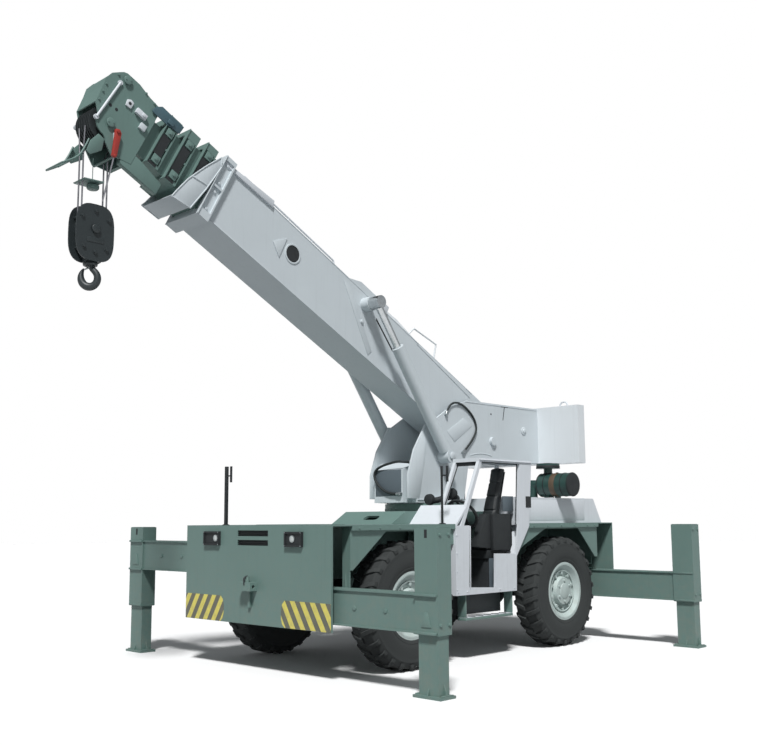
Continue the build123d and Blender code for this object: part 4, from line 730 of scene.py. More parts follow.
class CRANE_OT_boom_head(bpy.types.Operator):
    """Builds the boom head's fittings: bar, wedge socket, lugs, cover, guard, strands and height switch"""
    bl_idname = "crane.boom_head"
    bl_label = "Boom head"

    def execute(self, context):
        rope = context.scene.crane_sizes.rope
        bar = [rod(boom_at(6474, -222, x), boom_at(6448, 258, x), 0.026) for x in (198, -198)]
        for x in (196, -196):
            bar.append(rod(boom_at(6449, 258, x * 0.9), boom_at(6449, 258, x * 1.03), 0.05))
            bar.append(rod(boom_at(6474, -222, x * 0.9), boom_at(6474, -222, x * 1.03), 0.05))
        finished(bar, "head_bar", "cab_enamel", "boom_tip")
        pins = []
        for s, n in ((6333, -170), (6400, 340)):
            for way in (1, -1):
                place = boom_at(s, n, way * 204)
                pins.append(turned([(0, 0), (0, 46), (6, 46), (9, 38), (9, 0)], place, (way, 0, 0), 32))
                pins.append(bolts([place + Vector((way * 0.008, dy, dz)) for dy,
                                   dz in ((0.026, 0), (-0.026, 0))], (way, 0, 0), 0.012, 0.006))
        for s, n in ((6556, -40), (6566, 60), (6574, 150), (6520, 330), (6455, 395), (6200, 390), (6080, 365)):
            for way in (1, -1):
                pins.append(bolts([boom_at(s - 22, n - 6, way * 185)], (way, 0, 0), 0.018, 0.012))
        finished(pins, "head_pins", "carrier_enamel", "boom_tip", 0.0015)
        socket = [boom_plate(190, ((6268, -196), (6232, -176), (6196, -196), (6122, -436), (6138, -462),
                                   (6168, -452), (6240, -262)), 0.036),
                  rod(boom_at(6236, -206, 182), boom_at(6236, -206, 240), 0.040),
                  rod(boom_at(6146, -440, 186), boom_at(6146, -440, 232), 0.028)]
        finished(socket, "wedge_socket", "socket_enamel", "boom_tip", 0.006)
        links = [boom_plate(186, ((6234, 110), (6300, 104), (6310, 170), (6276, 196), (6234, 184)), 0.016),
                 boom_plate(186, ((6060, 112), (6187, 112), (6187, 172), (6060, 172)), 0.034),
                 rod(boom_at(6100, 142, 218), boom_at(6100, 142, 232), 0.04)]
        finished(links, "head_lugs", "cab_enamel", "boom_tip", 0.004)
        block = [boom_plate(186, ((6010, 5), (6082, 5), (6082, 74), (6010, 74)), 0.026),
                 rod(boom_at(6146, -440, 190), boom_at(6252, -226, 190), 0.012)]
        finished(block, "head_block", "boom_enamel", "boom_tip", 0.003)
        # painted shade: dark discs where the head's holes lie in shade
        hole_shade_discs = [disc(17, 1.5, boom_at(s, n, x), (1, 0, 0), 24) for s, n,
                 x in ((6417, -10, 185.2), (6346, -2, 185.2), (6270, 150, 202.2))]
        finished(hole_shade_discs, "head_hole_shade", "trim_black", "boom_tip")
        cover = [boom_plate(195, ((5690, 284), (5681, 386), (5978, 392), (6030, 340), (6051, 286), (6040, 262),
                                  (5850, 262)), 0.012),
                 boom_plate(207, ((5790, 276), (5862, 276), (5862, 332), (5790, 332)), 0.020)]
        finished(cover, "collar_cover", "cover_enamel", "boom_4", 0.004)
        tray = boom_plate(120, ((6110, -240), (6060, -440), (5590, -440), (5590, -310), (5860, -262)), 0.062)
        finished(tray, "tip_rail", "carrier_enamel", "boom_tip", 0.006)
        guard = [tube([at(x, -4640, 5170), at(x, -4700, 5020), at(x, -4790, 4930), at(x, -4905, 4868)], 0.020)
                 for x in (-150, 150)]
        guard.append(rod(at(-150, -4905, 4868), at(150, -4905, 4868), 0.020))
        guard.append(rod(at(-150, -4790, 4930), at(150, -4790, 4930), 0.016))
        for x in (-185, 169):
            guard.append(side_plate(x, ((-4560, 5235), (-4500, 5200), (-4520, 5080), (-4640, 5010),
                                        (-4680, 5040), (-4640, 5150)), 0.016))
        finished(guard, "rope_guard", "carrier_enamel", "boom_tip", 0.003)
        strands = []
        for x in (-35, 35):
            strands.append(rod(at(x, -4630, 5064), at(x * 1.6, -4632, 5330), rope, 12))
            strands.append(rod(at(x, -4370, 5064), at(x * 1.6, -4262, 5330), rope, 12))
        finished(strands, "head_strands", "rope_steel", "boom_tip")
        dead = rod(boom_at(6142, -452, 208), at(84, -4440, 4620), rope, 12)
        finished(dead, "dead_line", "rope_steel", "hook_block")
        switch = [side_plate(-110, ((-4650, 4800), (-4640, 4790), (-4450, 4790), (-4438, 4806)), 0.220),
                  rod(at(96, -4560, 4806), at(96, -4560, 5012), 0.008, 8),
                  rod(at(-96, -4560, 4806), at(-96, -4560, 5012), 0.008, 8),
                  turned([(0, 0), (0, 48), (14, 60), (40, 60), (52, 30), (52, 0)], at(0, -4500, 4738),
                         (0, 0, 1), 32)]
        finished(switch, "height_switch", "carrier_enamel", "hook_block", 0.002)
        return {"FINISHED"}


class CRANE_OT_hook(bpy.types.Operator):
    """Builds the load hook, its latch and nut, and the fittings of the hook block"""
    bl_idname = "crane.hook"
    bl_label = "Hook"

    def execute(self, context):
        turn = math.radians(44.1)
        along = Vector((math.cos(turn), math.sin(turn), 0.0))
        face = Vector((math.sin(turn), -math.cos(turn), 0.0))
        centre = at(0, -4500, 3878)

        def on(u, z, out=0.0):
            return centre + along * (u / 1000) + Vector((0.0, 0.0, z / 1000)) + face * (out / 1000)

        rows = ((4, 128, 27), (6, 92, 28), (44, 60, 30), (72, 18, 33), (76, -30, 35), (56, -74, 36),
                (14, -98, 38), (-34, -92, 39), (-72, -58, 38), (-88, -10, 33), (-84, 36, 24), (-70, 66, 15),
                (-58, 82, 8))
        line = bpy.data.curves.new("hook_line", "CURVE")
        line.dimensions = "3D"
        spline = line.splines.new("NURBS")
        spline.points.add(len(rows) - 1)
        for point, (u, z, radius) in zip(spline.points, rows):
            point.co = (*on(u, z), 1.0)
            point.radius = radius / 30
        spline.order_u = 4
        spline.use_endpoint_u = True
        line.bevel_depth = 0.030
        line.bevel_resolution = 5
        line.resolution_u = 8
        line.use_fill_caps = True
        body = bpy.data.objects.new("hook_bent", line)
        context.scene.collection.objects.link(body)
        pick(body)
        bpy.ops.object.convert(target="MESH")
        body = bpy.context.object
        shank = rod(on(2, 100), at(0, -4500, 4019.5), 0.056, 32)
        collar = turned([(0, 20), (0, 42), (26, 46), (40, 40), (40, 20)], at(0, -4500, 3974), (0, 0, 1), 32)
        made = finished(welded(body, shank, collar), "load_hook", "hook_enamel", "hook", smooth=60.0)
        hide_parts("hook")
        latch = [plate([on(-68, 64, -8), on(-60, 78, -8), on(-4, 100, -8), on(0, 86, -8)], face * 0.016),
                 rod(on(-2, 93, -24), on(-2, 93, 24), 0.018, 12)]
        finished(latch, "hook_latch", "zinc_steel", "hook", 0.003)
        fittings = []
        for way in (1, -1):
            x = way * 89.5
            fittings.append(turned([(0, 0), (0, 44), (8, 44), (12, 36), (12, 0)], at(x, -4500, 4335),
                                   (way, 0, 0), 32))
            for y, z in ((-4640, 4440), (-4360, 4440), (-4620, 4150), (-4380, 4150), (-4500, 4510),
                         (-4500, 4110)):
                fittings.append(bolts([at(way * 77.5, y, z)], (way, 0, 0), 0.030, 0.018))
            fittings.append(side_plate(way * 77.5, ((-4590, 4250), (-4410, 4250), (-4410, 4200), (-4590, 4200)),
                                       way * 0.004))
        for y, z in ((-4640, 4440), (-4360, 4440), (-4620, 4150), (-4380, 4150)):
            fittings.append(rod(at(-63.5, y, z), at(63.5, y, z), 0.030, 16))
        fittings.append(turned([(0, 20), (0, 66), (16, 70), (34, 62), (34, 20)], at(0, -4500, 3986), (0, 0, 1),
                               32))
        finished(fittings, "block_fittings", "hook_enamel", "hook_block", 0.0015)
        return {"FINISHED"}


class CRANE_OT_boom(bpy.types.Operator):
    """Builds the boom's collars, pads, seams, lip, side plates, ledges and hand rails"""
    bl_idname = "crane.boom"
    bl_label = "Boom"

    def execute(self, context):
        # half width, underside, top, front end, stand-out at the sides, above and below
        rows = (("boom_base", 240, -285, 410, 5160, 45, 40, 60, "boom_enamel"),
                ("boom_2", 210, -258, 362, 5390, 28, 75, 12, "carrier_enamel"),
                ("boom_3", 182, -234, 318, 5620, 34, 100, 12, "carrier_enamel"),
                ("boom_4", 155, -212, 276, 5850, 38, 126, 10, "carrier_enamel"))
        for body, half, low, high, front, aside, above, below, finish in rows:
            parts = []
            for way in (1, -1):
                x = way * (half + aside)
                parts.append(boom_plate(x, ((front - 8, low - below), (front - 8, high + above),
                                            (front, high + above), (front, low - below)), way * 0.010))
                for n in (low + 60, (low + high) / 2 - 60, (low + high) / 2 + 60, high - 50):
                    parts.append(bolts([boom_at(front - 75, n, way * (half + aside * 0.35))], (way, 0, 0),
                                       0.030, 0.016))
            for x in (-half * 0.55, 0, half * 0.55):
                top = boom_at(front - 78, high + above, x)
                upward = boom_at(0, 1) - boom_at(0, 0)
                parts.append(bolts([top], upward, 0.030, 0.018))
            finished(parts, body + "_collar", finish, body, 0.002)
        for body, half, low, high, front, aside, above, below, finish in rows[1:]:
            parts = []
            for way in (1, -1):
                for n0, n1 in ((low + 30, low + 120), (high - 110, high - 20)):
                    parts.append(boom_plate(way * (half + aside), ((front - 120, n0), (front - 120, n1),
                                                                   (front - 34, n1), (front - 34, n0)),
                                            way * 0.012))
                    parts.append(bolts([boom_at(front - 77, (n0 + n1) / 2, way * (half + aside + 12))],
                                       (way, 0, 0), 0.034, 0.014))
            for x0, x1 in ((-half * 0.9, -half * 0.3), (half * 0.3, half * 0.9)):
                base = [boom_at(front - 130, high + above, x0), boom_at(front - 130, high + above, x1),
                        boom_at(front - 20, high + above, x1), boom_at(front - 20, high + above, x0)]
                parts.append(plate(base, (boom_at(0, 14) - boom_at(0, 0))))
            finished(parts, body + "_pads", finish, body, 0.003)
            # painted shade: black strips on each collar's sides, where the inner sections' side faces lie in
            # shade
            collar_shade_strips = []
            for way in (1, -1):
                for n0, n1 in ((low - below + 4, low + 26), (low + 124, high - 114)):
                    collar_shade_strips.append(boom_plate(way * (half + aside), ((front - 116, n0), (front - 116, n1),
                                                                  (front - 16, n1), (front - 16, n0)),
                                           way * 0.0015))
            finished(collar_shade_strips, body + "_side_shade", "trim_black", body)
        seams = []
        for n in (-279, 402):
            for way in (1, -1):
                seams.append(plate([boom_at(560, n - 5, way * BOOM_SIDE), boom_at(560, n + 5, way * BOOM_SIDE),
                                    boom_at(4990, n + 5, way * BOOM_SIDE),
                                    boom_at(4990, n - 5, way * BOOM_SIDE)], (way * 0.004, 0.0, 0.0)))
        for way in (1, -1):
            seams.append(boom_plate(way * BOOM_SIDE, ((560, 330), (700, 396), (1700, 396), (1760, 380)),
                                    way * 0.006))
        finished(seams, "boom_seams", "boom_enamel", "boom_base", 0.0015)
        lip = []
        for way in (1, -1):
            deep = 0 if way > 0 else 48
            outline = [(5207, 369), (5301, 176), (5357, 41), (5418, -119), (5463, -303), (5482, deep - 400),
                       (5252, deep * 0.4 - 365), (5195, -58), (5156, 275)]
            lip.append(boom_plate(way * 268, outline, way * 0.022))
            lip.append(rod(boom_at(5216, -20, way * 290), boom_at(5384, -52, way * 290), 0.020, 8))
            for (s0, n0), (s1, n1) in zip(outline, outline[1:] + outline[:1]):
                lip.append(rod(boom_at(s0, n0, way * 290), boom_at(s1, n1, way * 290), 0.016, 8))
        lip.append(boom_plate(-268, ((5252, -345), (5470, -356), (5470, -364), (5252, -353)), 0.536))
        finished(lip, "collar_lip", "boom_enamel", "boom_base", 0.002)
        side = [boom_plate(BOOM_SIDE, ((4211, 55), (4066, 210), (4059, -50)), 0.010),
                boom_plate(BOOM_SIDE, ((5122, 318), (5098, -280), (5060, -271), (5085, 318)), 0.006),
                turned([(0, 96), (0, 116), (8, 114), (8, 96)], boom_at(3915, 111, BOOM_SIDE), (1, 0, 0), 48),
                boom_plate(BOOM_SIDE, ((3156, 332), (3040, 332), (2380, -160), (2415, -235)), 0.006),
                bolts([boom_at(2684, 60, 246)], (1, 0, 0), 0.036, 0.018)]
        finished(side, "boom_side_plates", "boom_enamel", "boom_base", 0.002)
        # painted shade: a dark disc inside the side ring where the round hole lies in shade, and a dark strip
        # along the lift rod's line where it lies in shade
        shade_patches = [disc(98, 2, boom_at(3915, 111, BOOM_SIDE), (1, 0, 0), 48),
                boom_plate(BOOM_SIDE, ((2496, 252), (2484, 222), (2077, 42), (2089, 70)), 0.002)]
        finished(shade_patches, "boom_painted_shade", "trim_black", "boom_base")
        ledge = [boom_plate(236, ((5146, 394), (5085, 356), (4396, 378), (4417, 456)), 0.030),
                 boom_plate(236, ((2699, 371), (2389, 371), (2389, 480), (2600, 488)), 0.030)]
        finished(ledge, "boom_ledges", "cab_enamel", "boom_base", 0.004)
        crest = []
        for way in (1, -1):
            crest.append(boom_plate(way * 190, ((2582, 501), (2363, 463), (2163, 474), (1593, 424), (1118, 428),
                                                (952, 423), (952, 409), (2582, 409)), way * 0.012))
        crest.append(tube([boom_at(1896, 417, 170), boom_at(1825, 580, 170), boom_at(1383, 638, 170),
                           boom_at(1330, 417, 170)], 0.024, False))
        finished(crest, "boom_crest", "weight_enamel", "boom_base", 0.002)
        rail = [tube([boom_at(3300, 410, 150), boom_at(3300, 500, 150), boom_at(3380, 500, 150),
                      boom_at(4760, 500, 150), boom_at(4840, 500, 150), boom_at(4840, 410, 150)], 0.022)]
        for s in (3700, 4100, 4480):
            rail.append(rod(boom_at(s, 410, 150), boom_at(s, 496, 150), 0.018, 16))
        finished(rail, "boom_rail", "cab_enamel", "boom_base")
        return {"FINISHED"}


class CRANE_OT_hoses(bpy.types.Operator):
    """Builds the two hoses held at both ends on the turret, and their fittings"""
    bl_idname = "crane.hoses"
    bl_label = "Hoses"

    def hose(self, name, places, diameter):
        line = bpy.data.curves.new(name, "CURVE")
        line.dimensions = "3D"
        spline = line.splines.new("NURBS")
        spline.points.add(len(places) - 1)
        for point, place in zip(spline.points, places):
            point.co = (*place, 1.0)
        spline.order_u = 3
        spline.use_endpoint_u = True
        line.bevel_depth = diameter / 2
        line.bevel_resolution = 5
        line.resolution_u = 16
        line.use_fill_caps = True
        made = bpy.data.objects.new(name, line)
        bpy.context.scene.collection.objects.link(made)
        line.materials.append(finish_of("hose_rubber"))
        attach(made, "turret")
        return made

    def execute(self, context):
        side = [at(341, y, z) for y, z in ((300, 2885), (360, 3045), (620, 3060), (900, 2860), (900, 2640),
                                           (622, 2423))]
        nose = [at(275, -275, 2265)] + [at(x, -427.5, z) for x, z in ((275, 2268), (150, 2278), (-175, 2215),
                                        (-235, 2100), (-120, 1960), (60, 1880), (215, 1886))]
        made = self.hose("side_line", side, 0.026)
        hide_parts("side_hose")
        made = self.hose("nose_line", nose, 0.031)
        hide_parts("nose_hose")
        ends = []
        for place, sleeve in ((side[0], side[1]), (side[-1], side[-2])):
            ahead = (sleeve - place).normalized()
            ends.append(turned([(0, 8), (0, 17), (46, 17), (52, 14), (52, 8)], place, ahead, 24))
            ends.append(rod(place - Vector((0.016, 0, 0)), place + Vector((0.017, 0, 0)), 0.038, 6))
        ahead = (nose[1] - nose[0]).normalized()
        ends.append(turned([(0, 8), (0, 20), (56, 20), (62, 17), (62, 8)], nose[0], ahead, 24))
        ends.append(rod(nose[0] - Vector((0.018, 0, 0)), at(299.5, -275, 2265), 0.042, 6))
        ahead = (nose[-2] - nose[-1]).normalized()
        ends.append(turned([(0, 8), (0, 20), (56, 20), (62, 17), (62, 8)], nose[-1], ahead, 24))
        ends.append(rod(nose[-1] - Vector((0, 0.018, 0)), at(215, -405, 1886), 0.042, 6))
        finished(ends, "hose_ends", "zinc_steel", "turret")
        return {"FINISHED"}


class CRANE_OT_turret(bpy.types.Operator):
    """Builds the turret's pins, seams, winch caps, drum rope, bolts and counterweight fittings"""
    bl_idname = "crane.turret"
    bl_label = "Turret"

    def execute(self, context):
        pins = []
        for way in (1, -1):
            low = at(way * 521, 200, 2355)
            pins.append(turned([(0, 0), (0, 48), (8, 48), (12, 40), (12, 0)], low, (way, 0, 0), 32))
            pins.append(side_plate(way * CHEEK_X, ((120, 2290), (280, 2290), (310, 2355), (280, 2440),
                                                   (120, 2440), (90, 2355)), way * 0.010))
        finished(pins, "turret_pins", "boom_enamel", "turret", 0.002)
        seams = []
        for way in (1, -1):
            x = way * CHEEK_X
            seams.append(side_plate(x, ((700, 2346), (2270, 2346), (2270, 2354), (704, 2354)), way * 0.005))
            seams.append(side_plate(x, ((700, 3080), (2270, 3080), (2270, 3088), (700, 3088)), way * 0.005))
            seams.append(side_plate(x, ((-236, 1812), (590, 1812), (590, 1822), (-236, 1822)), way * 0.010))
            seams.append(side_plate(x, ((333, 2680), (470, 2552), (836, 2780), (657, 2872)), way * 0.004))
            seams.append(tube([at(x, y, z) for y, z in ((789, 2395), (1012, 2455), (1238, 2403))], 0.012))
            seams.append(side_plate(way * 301, ((0, 2743), (-73, 2743), (-290, 2424), (-400, 2120),
                                                (-404, 1830), (-200, 1830)), way * 0.0255))
        finished(seams, "turret_seams", "boom_enamel", "turret", 0.0015)
        marks = [side_plate(CHEEK_X, ((1455, 3073), (1614, 3073), (1614, 3086), (1455, 3086)), 0.002),
                 side_plate(CHEEK_X, ((1528, 3073), (1490, 2895), (1500, 2895), (1541, 3073)), 0.002),
                 disc(12, 2, at(CHEEK_X, 1237, 2961), (1, 0, 0), 20)]
        finished(marks, "turret_slots", "trim_black", "turret")
        winch = []
        for way in (1, -1):
            place = at(way * CHEEK_X, *DRUM)
            winch.append(turned([(0, 0), (0, 56), (8, 56), (12, 48), (12, 30), (22, 26), (22, 0)], place,
                                (way, 0, 0), 40))
        finished(winch, "winch_housings", "boom_enamel", "turret", 0.002)
        turns = []
        for layer, dia in ((0, 0.316), (1, 0.344)):
            for step in range(25 - layer):
                x = -216 + layer * 9 + step * 18
                turns.append(hoop(at(x, *DRUM), (1, 0, 0), dia, 0.0175, 40))
        finished(turns, "drum_rope", "rope_steel", "winch")
        weight = []
        for way in (1, -1):
            for z in (2420, 3030):
                weight.append(bolts([at(way * 640, 2510, z)], (0, 1, 0), 0.046, 0.024))
            weight.append(tube([at(way * 760, 2400, 3120), at(way * 760, 2400, 3170), at(way * 700, 2400, 3190),
                                at(way * 640, 2400, 3170), at(way * 640, 2400, 3120)], 0.024))
        weight.append(face_plate(2510, ((-990 + 62, 2338), (990 - 62, 2338), (990 - 62, 2352),
                                        (-990 + 62, 2352)), 0.004))
        finished(weight, "counterweight_fittings", "cab_enamel", "turret", 0.003)
        ring = []
        for step in range(36):
            a = 2 * math.pi * step / 36
            ring.append(at(505 * math.cos(a), RING_MIDDLE_Y + 505 * math.sin(a), 1812))
        finished(bolts(ring, (0, 0, 1), 0.030, 0.018), "ring_bolts", "zinc_steel", "turret")
        lower = []
        for step in range(36):
            a = 2 * math.pi * (step + 0.5) / 36
            lower.append(at(522 * math.cos(a), RING_MIDDLE_Y + 522 * math.sin(a), 1700))
        heads = [bolts([place], (place.x, place.y - (RING_MIDDLE_Y + SHIFT_Y) / 1000, 0.0), 0.022, 0.012)
                 for place in lower]
        finished(heads, "ring_flange_bolts", "carrier_enamel", "carrier")
        # painted shade: a dark slate sheet on the nose's front, where the well between the cheeks lies in shade
        nose = face_plate(-405, ((-215, 1862), (215, 1862), (215, 2180), (-215, 2180)), -0.003)
        finished(nose, "nose_well_shade", "slate_paint_and_shade", "turret", 0.001)
        return {"FINISHED"}


class CRANE_OT_outriggers(bpy.types.Operator):
    """Builds the outriggers' caps, flanges, slots and feet"""
    bl_idname = "crane.outriggers"
    bl_label = "Outriggers"

    def execute(self, context):
        for name, side, end in CORNERS:
            y = JACK_Y[end]
            x = side * JACK_X
            z = 560 if side > 0 else 990
            parts = [plate([at(x + dx, y + dy, 1500) for dx,
                            dy in ((-128, -86), (128, -86), (128, 86), (-128, 86))], (0.0, 0.0, 0.004))]
            outer_way = -1 if end < 0 else 1
            for dz in (z + 7, z + 343):
                for way in (1, -1):
                    parts.append(plate([at(x - side * 137, y + way * 95, dz - 11),
                                        at(x + side * 128, y + way * 95, dz - 11),
                                        at(x + side * 128, y + way * 95, dz + 11),
                                        at(x - side * 137, y + way * 95, dz + 11)],
                                       (0.0, way * (0.024 if way == outer_way else 0.008), 0.0)))
            for dz in (640, 1440):
                parts.append(bolts([at(x + side * 137.5, y + dy, dz) for dy in (-60, 60)], (side, 0, 0), 0.026,
                                   0.012))
            parts.append(plate([at(x + dx, y + outer_way * 95, dz) for dx, dz in
                                ((-60, z + 60), (60, z + 60), (18, z + 190), (-18, z + 190))],
                               (0.0, outer_way * 0.008, 0.0)))
            parts.append(plate([at(x + dx, y + outer_way * 95, dz) for dx,
                                dz in ((-128, 556), (128, 556), (128, 580), (-128, 580))],
                               (0.0, outer_way * 0.008, 0.0)))
            # painted shade: a dark sheet where the column's slot lies in shade
            slot = plate([at(x + dx, y + outer_way * 95, dz) for dx,
                          dz in ((-16, 1410), (16, 1410), (16, 1485), (-16, 1485))],
                         (0.0, outer_way * 0.0015, 0.0))
            finished(slot, "column_slot_shade_" + name, "trim_black", "outrigger_" + name)
            for share in (0.3, 0.62):
                bx = side * (JACK_X - 137 - BEAM_STROKE * share)
                parts.append(disc(24, 8, at(bx, y + outer_way * 77, z + 175), (0, outer_way, 0), 20))
            finished(parts, "column_fittings_" + name, "carrier_enamel", "outrigger_" + name, 0.002)
            foot = [turned([(0, 0), (0, 62), (26, 62), (42, 44), (42, 0)], at(x, y, 25), (0, 0, 1), 24)]
            for dx in (-1, 1):
                foot.append(plate([at(x + dx * 128, y - 60, 25), at(x + dx * 158, y - 80, 25),
                                   at(x + dx * 158, y + 80, 25), at(x + dx * 128, y + 60, 25)],
                                  (0.0, 0.0, 0.010)))
                foot.append(plate([at(x + dx * 117.5, y + 6, 25), at(x + dx * 158, y + 6, 25),
                                   at(x + dx * 117.5, y + 6, 130)], (0.0, -0.012, 0.0)))
            for dy in (-1, 1):
                foot.append(plate([at(x + 6, y + dy * 70, 25), at(x + 6, y + dy * 100, 25),
                                   at(x + 6, y + dy * 70, 90)], (-0.012, 0.0, 0.0)))
            finished(foot, "foot_ribs_" + name, "carrier_enamel", "jack_" + name, 0.0015)
        return {"FINISHED"}


class CRANE_OT_decks(bpy.types.Operator):
    """Builds the decks' bolts, lifting eyes, the front deck's hatch and the fuel tank's straps"""
    bl_idname = "crane.decks"
    bl_label = "Decks"

    def execute(self, context):
        parts = []
        for way in (1, -1):
            parts.append(bolts([at(way * 1180, y, 1511) for y in (-2050, -1750, -1450, -1150, -850)],
                               (way, 0, 0), 0.02, 0.008))
            parts.append(bolts([at(way * BODY_HALF, y, 1492) for y in (-2100, -1800, -1500, -1200, -900, -700)],
                               (way, 0, 0), 0.018, 0.007))
            parts.append(bolts([at(way * BODY_HALF, y, 1492) for y in (900, 1200, 1500, 1800, 2100, 2280)],
                               (way, 0, 0), 0.018, 0.007))
        for x in (-900, 900):
            parts.append(annulus((-10, 10), (22, 46), at(x, 2640, 1552), (0, 1, 0), 24))
        parts.append(rod(at(1105, -2180, 880), at(1105, -2180, 1120), 0.060, 20, 0.030))
        parts.append(rod(at(1105, -2180, 1120), at(1105, -2180, 1500), 0.030, 16))
        parts.append(level_plate(DECK_Z, ((-380, -2150), (380, -2150), (380, -1500), (-380, -1500)), 0.006))
        finished(parts, "deck_fittings", "carrier_enamel", "carrier", 0.002)
        tank = []
        for y in (-300, 60, 400):
            tank.append(tube([at(-1195, y, 800), at(-1195, y, 1290), at(-1150, y, 1305), at(-560, y, 1305)],
                             0.012))
        tank.append(turned([(0, 0), (0, 55), (24, 58), (36, 50), (36, 0)], at(-1120, -120, 1298), (0, 0, 1),
                           28))
        finished(tank, "tank_straps", "axle_steel", "carrier", 0.001)
        return {"FINISHED"}


class CRANE_OT_hood(bpy.types.Operator):
    """Builds the hood's panels, latches, grille, exhaust and the air cleaner's bands"""
    bl_idname = "crane.hood"
    bl_label = "Hood"

    def execute(self, context):
        parts, dark = [], []
        for way in (1, -1):
            x = way * HOOD_SIDE
            parts.append(side_plate(x, ((900, 1560), (2280, 1560), (2280, 1815), (900, 1815)), way * 0.003))
            dark.append(side_plate(x + way * 3, ((944, 1596), (980, 1596), (980, 1624), (944, 1624)),
                                   way * 0.008))
        for y in (1210, 1575, 2300):
            parts.append(plate([at(-1040, y - 5, 1845), at(1040, y - 5, 1845), at(1040, y + 5, 1845),
                                at(-1040, y + 5, 1845)], (0.0, 0.0, 0.004)))
        for x in (-420, 420):
            parts.append(rod(at(x, 1250, 1851), at(x, 1500, 1851), 0.018, 16))
        finished(parts, "hood_panels", "cab_enamel", "carrier", 0.002)
        for step in range(14):
            x = -620 + step * 94
            dark.append(plate([at(x, 2531, 1800), at(x + 60, 2531, 1800), at(x + 60, 2671, 1565),
                               at(x, 2671, 1565)], (0.0, 0.006, 0.0035)))
        finished(dark, "hood_grille", "trim_black", "carrier", 0.001)
        pipe = [tube([at(-760, 1900, 1845), at(-760, 1900, 2060), at(-760, 1900, 2190), at(-760, 1960, 2262)],
                     0.070), annulus((0, 190), (34, 62), at(-760, 1900, 1870), (0, 0, 1), 32),
                annulus((0, 8), (34, 70), at(-760, 1900, 1845), (0, 0, 1), 32)]
        finished(pipe, "exhaust", "axle_steel", "carrier")
        can = []
        for x in (800, 900, 1160, 1262):
            can.append(annulus((-5, 5), (148, 155), at(x, 1700, 2015), (1, 0, 0), 48))
        can.append(turned([(0, 0), (0, 120), (5, 138), (-4, 150), (9, 150), (16, 118), (10, 60), (16, 30),
                           (16, 0)], at(1266, 1700, 2015), (1, 0, 0), 48))
        can.append(rod(at(1010, 1702, 2168), at(1048, 1702, 2168), 0.018, 6))
        can.append(turned([(0, 150), (8, 156), (30, 150), (52, 118), (62, 60), (64, 0), (0, 0)],
                          at(890, 1700, 2240), (0, 0, 1), 40))
        can.append(annulus((0, 6), (148, 158), at(890, 1700, 2230), (0, 0, 1), 40))
        can.append(annulus((0, 10), (55, 64), at(890, 1700, 2160), (0, 0, 1), 32))
        finished(can, "air_cleaner_bands", "trim_black", "carrier", 0.0015)
        belt = annulus((-40, 40), (148, 152), at(1030, 1700, 2015), (1, 0, 0), 48)
        finished(belt, "air_cleaner_belt", "cleaner_band", "carrier", 0.001)
        rain = disc(62, 62, at(738, 1700, 2030), (1, 0, 0), 32)
        finished(rain, "air_duct_clamp", "zinc_steel", "carrier", 0.004)
        return {"FINISHED"}


class CRANE_OT_mirrors(bpy.types.Operator):
    """Builds the mirrors: square masts, narrow heads and glass"""
    bl_idname = "crane.mirrors"
    bl_label = "Mirrors"

    def execute(self, context):
        poles, glass = [], []
        for x, y in ((-533, -2450), (1110, -700)):
            half = 16 if x < 0 else 10
            poles.append(box(at(x - half, y - half, DECK_Z), at(x + half, y + half, 2172)))
            poles.append(turned([(0, 0), (0, 40), (6, 40), (14, 20), (14, 0)], at(x, y, DECK_Z), (0, 0, 1), 24))
            poles.append(box(at(x + 66, y - 6, 1995), at(x + 95, y + 6, 2172)))
            poles.append(box(at(x + half, y - 6, 2060), at(x + 66, y + 6, 2074)))
            glass.append(box(at(x + 69, y + 6, 2000), at(x + 92, y + 8, 2167)))
        made = finished(poles, "mirror_heads", "trim_black", "carrier", 0.001)
        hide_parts("mirrors")
        finished(glass, "mirror_glass", "rod_chrome", "carrier")
        return {"FINISHED"}


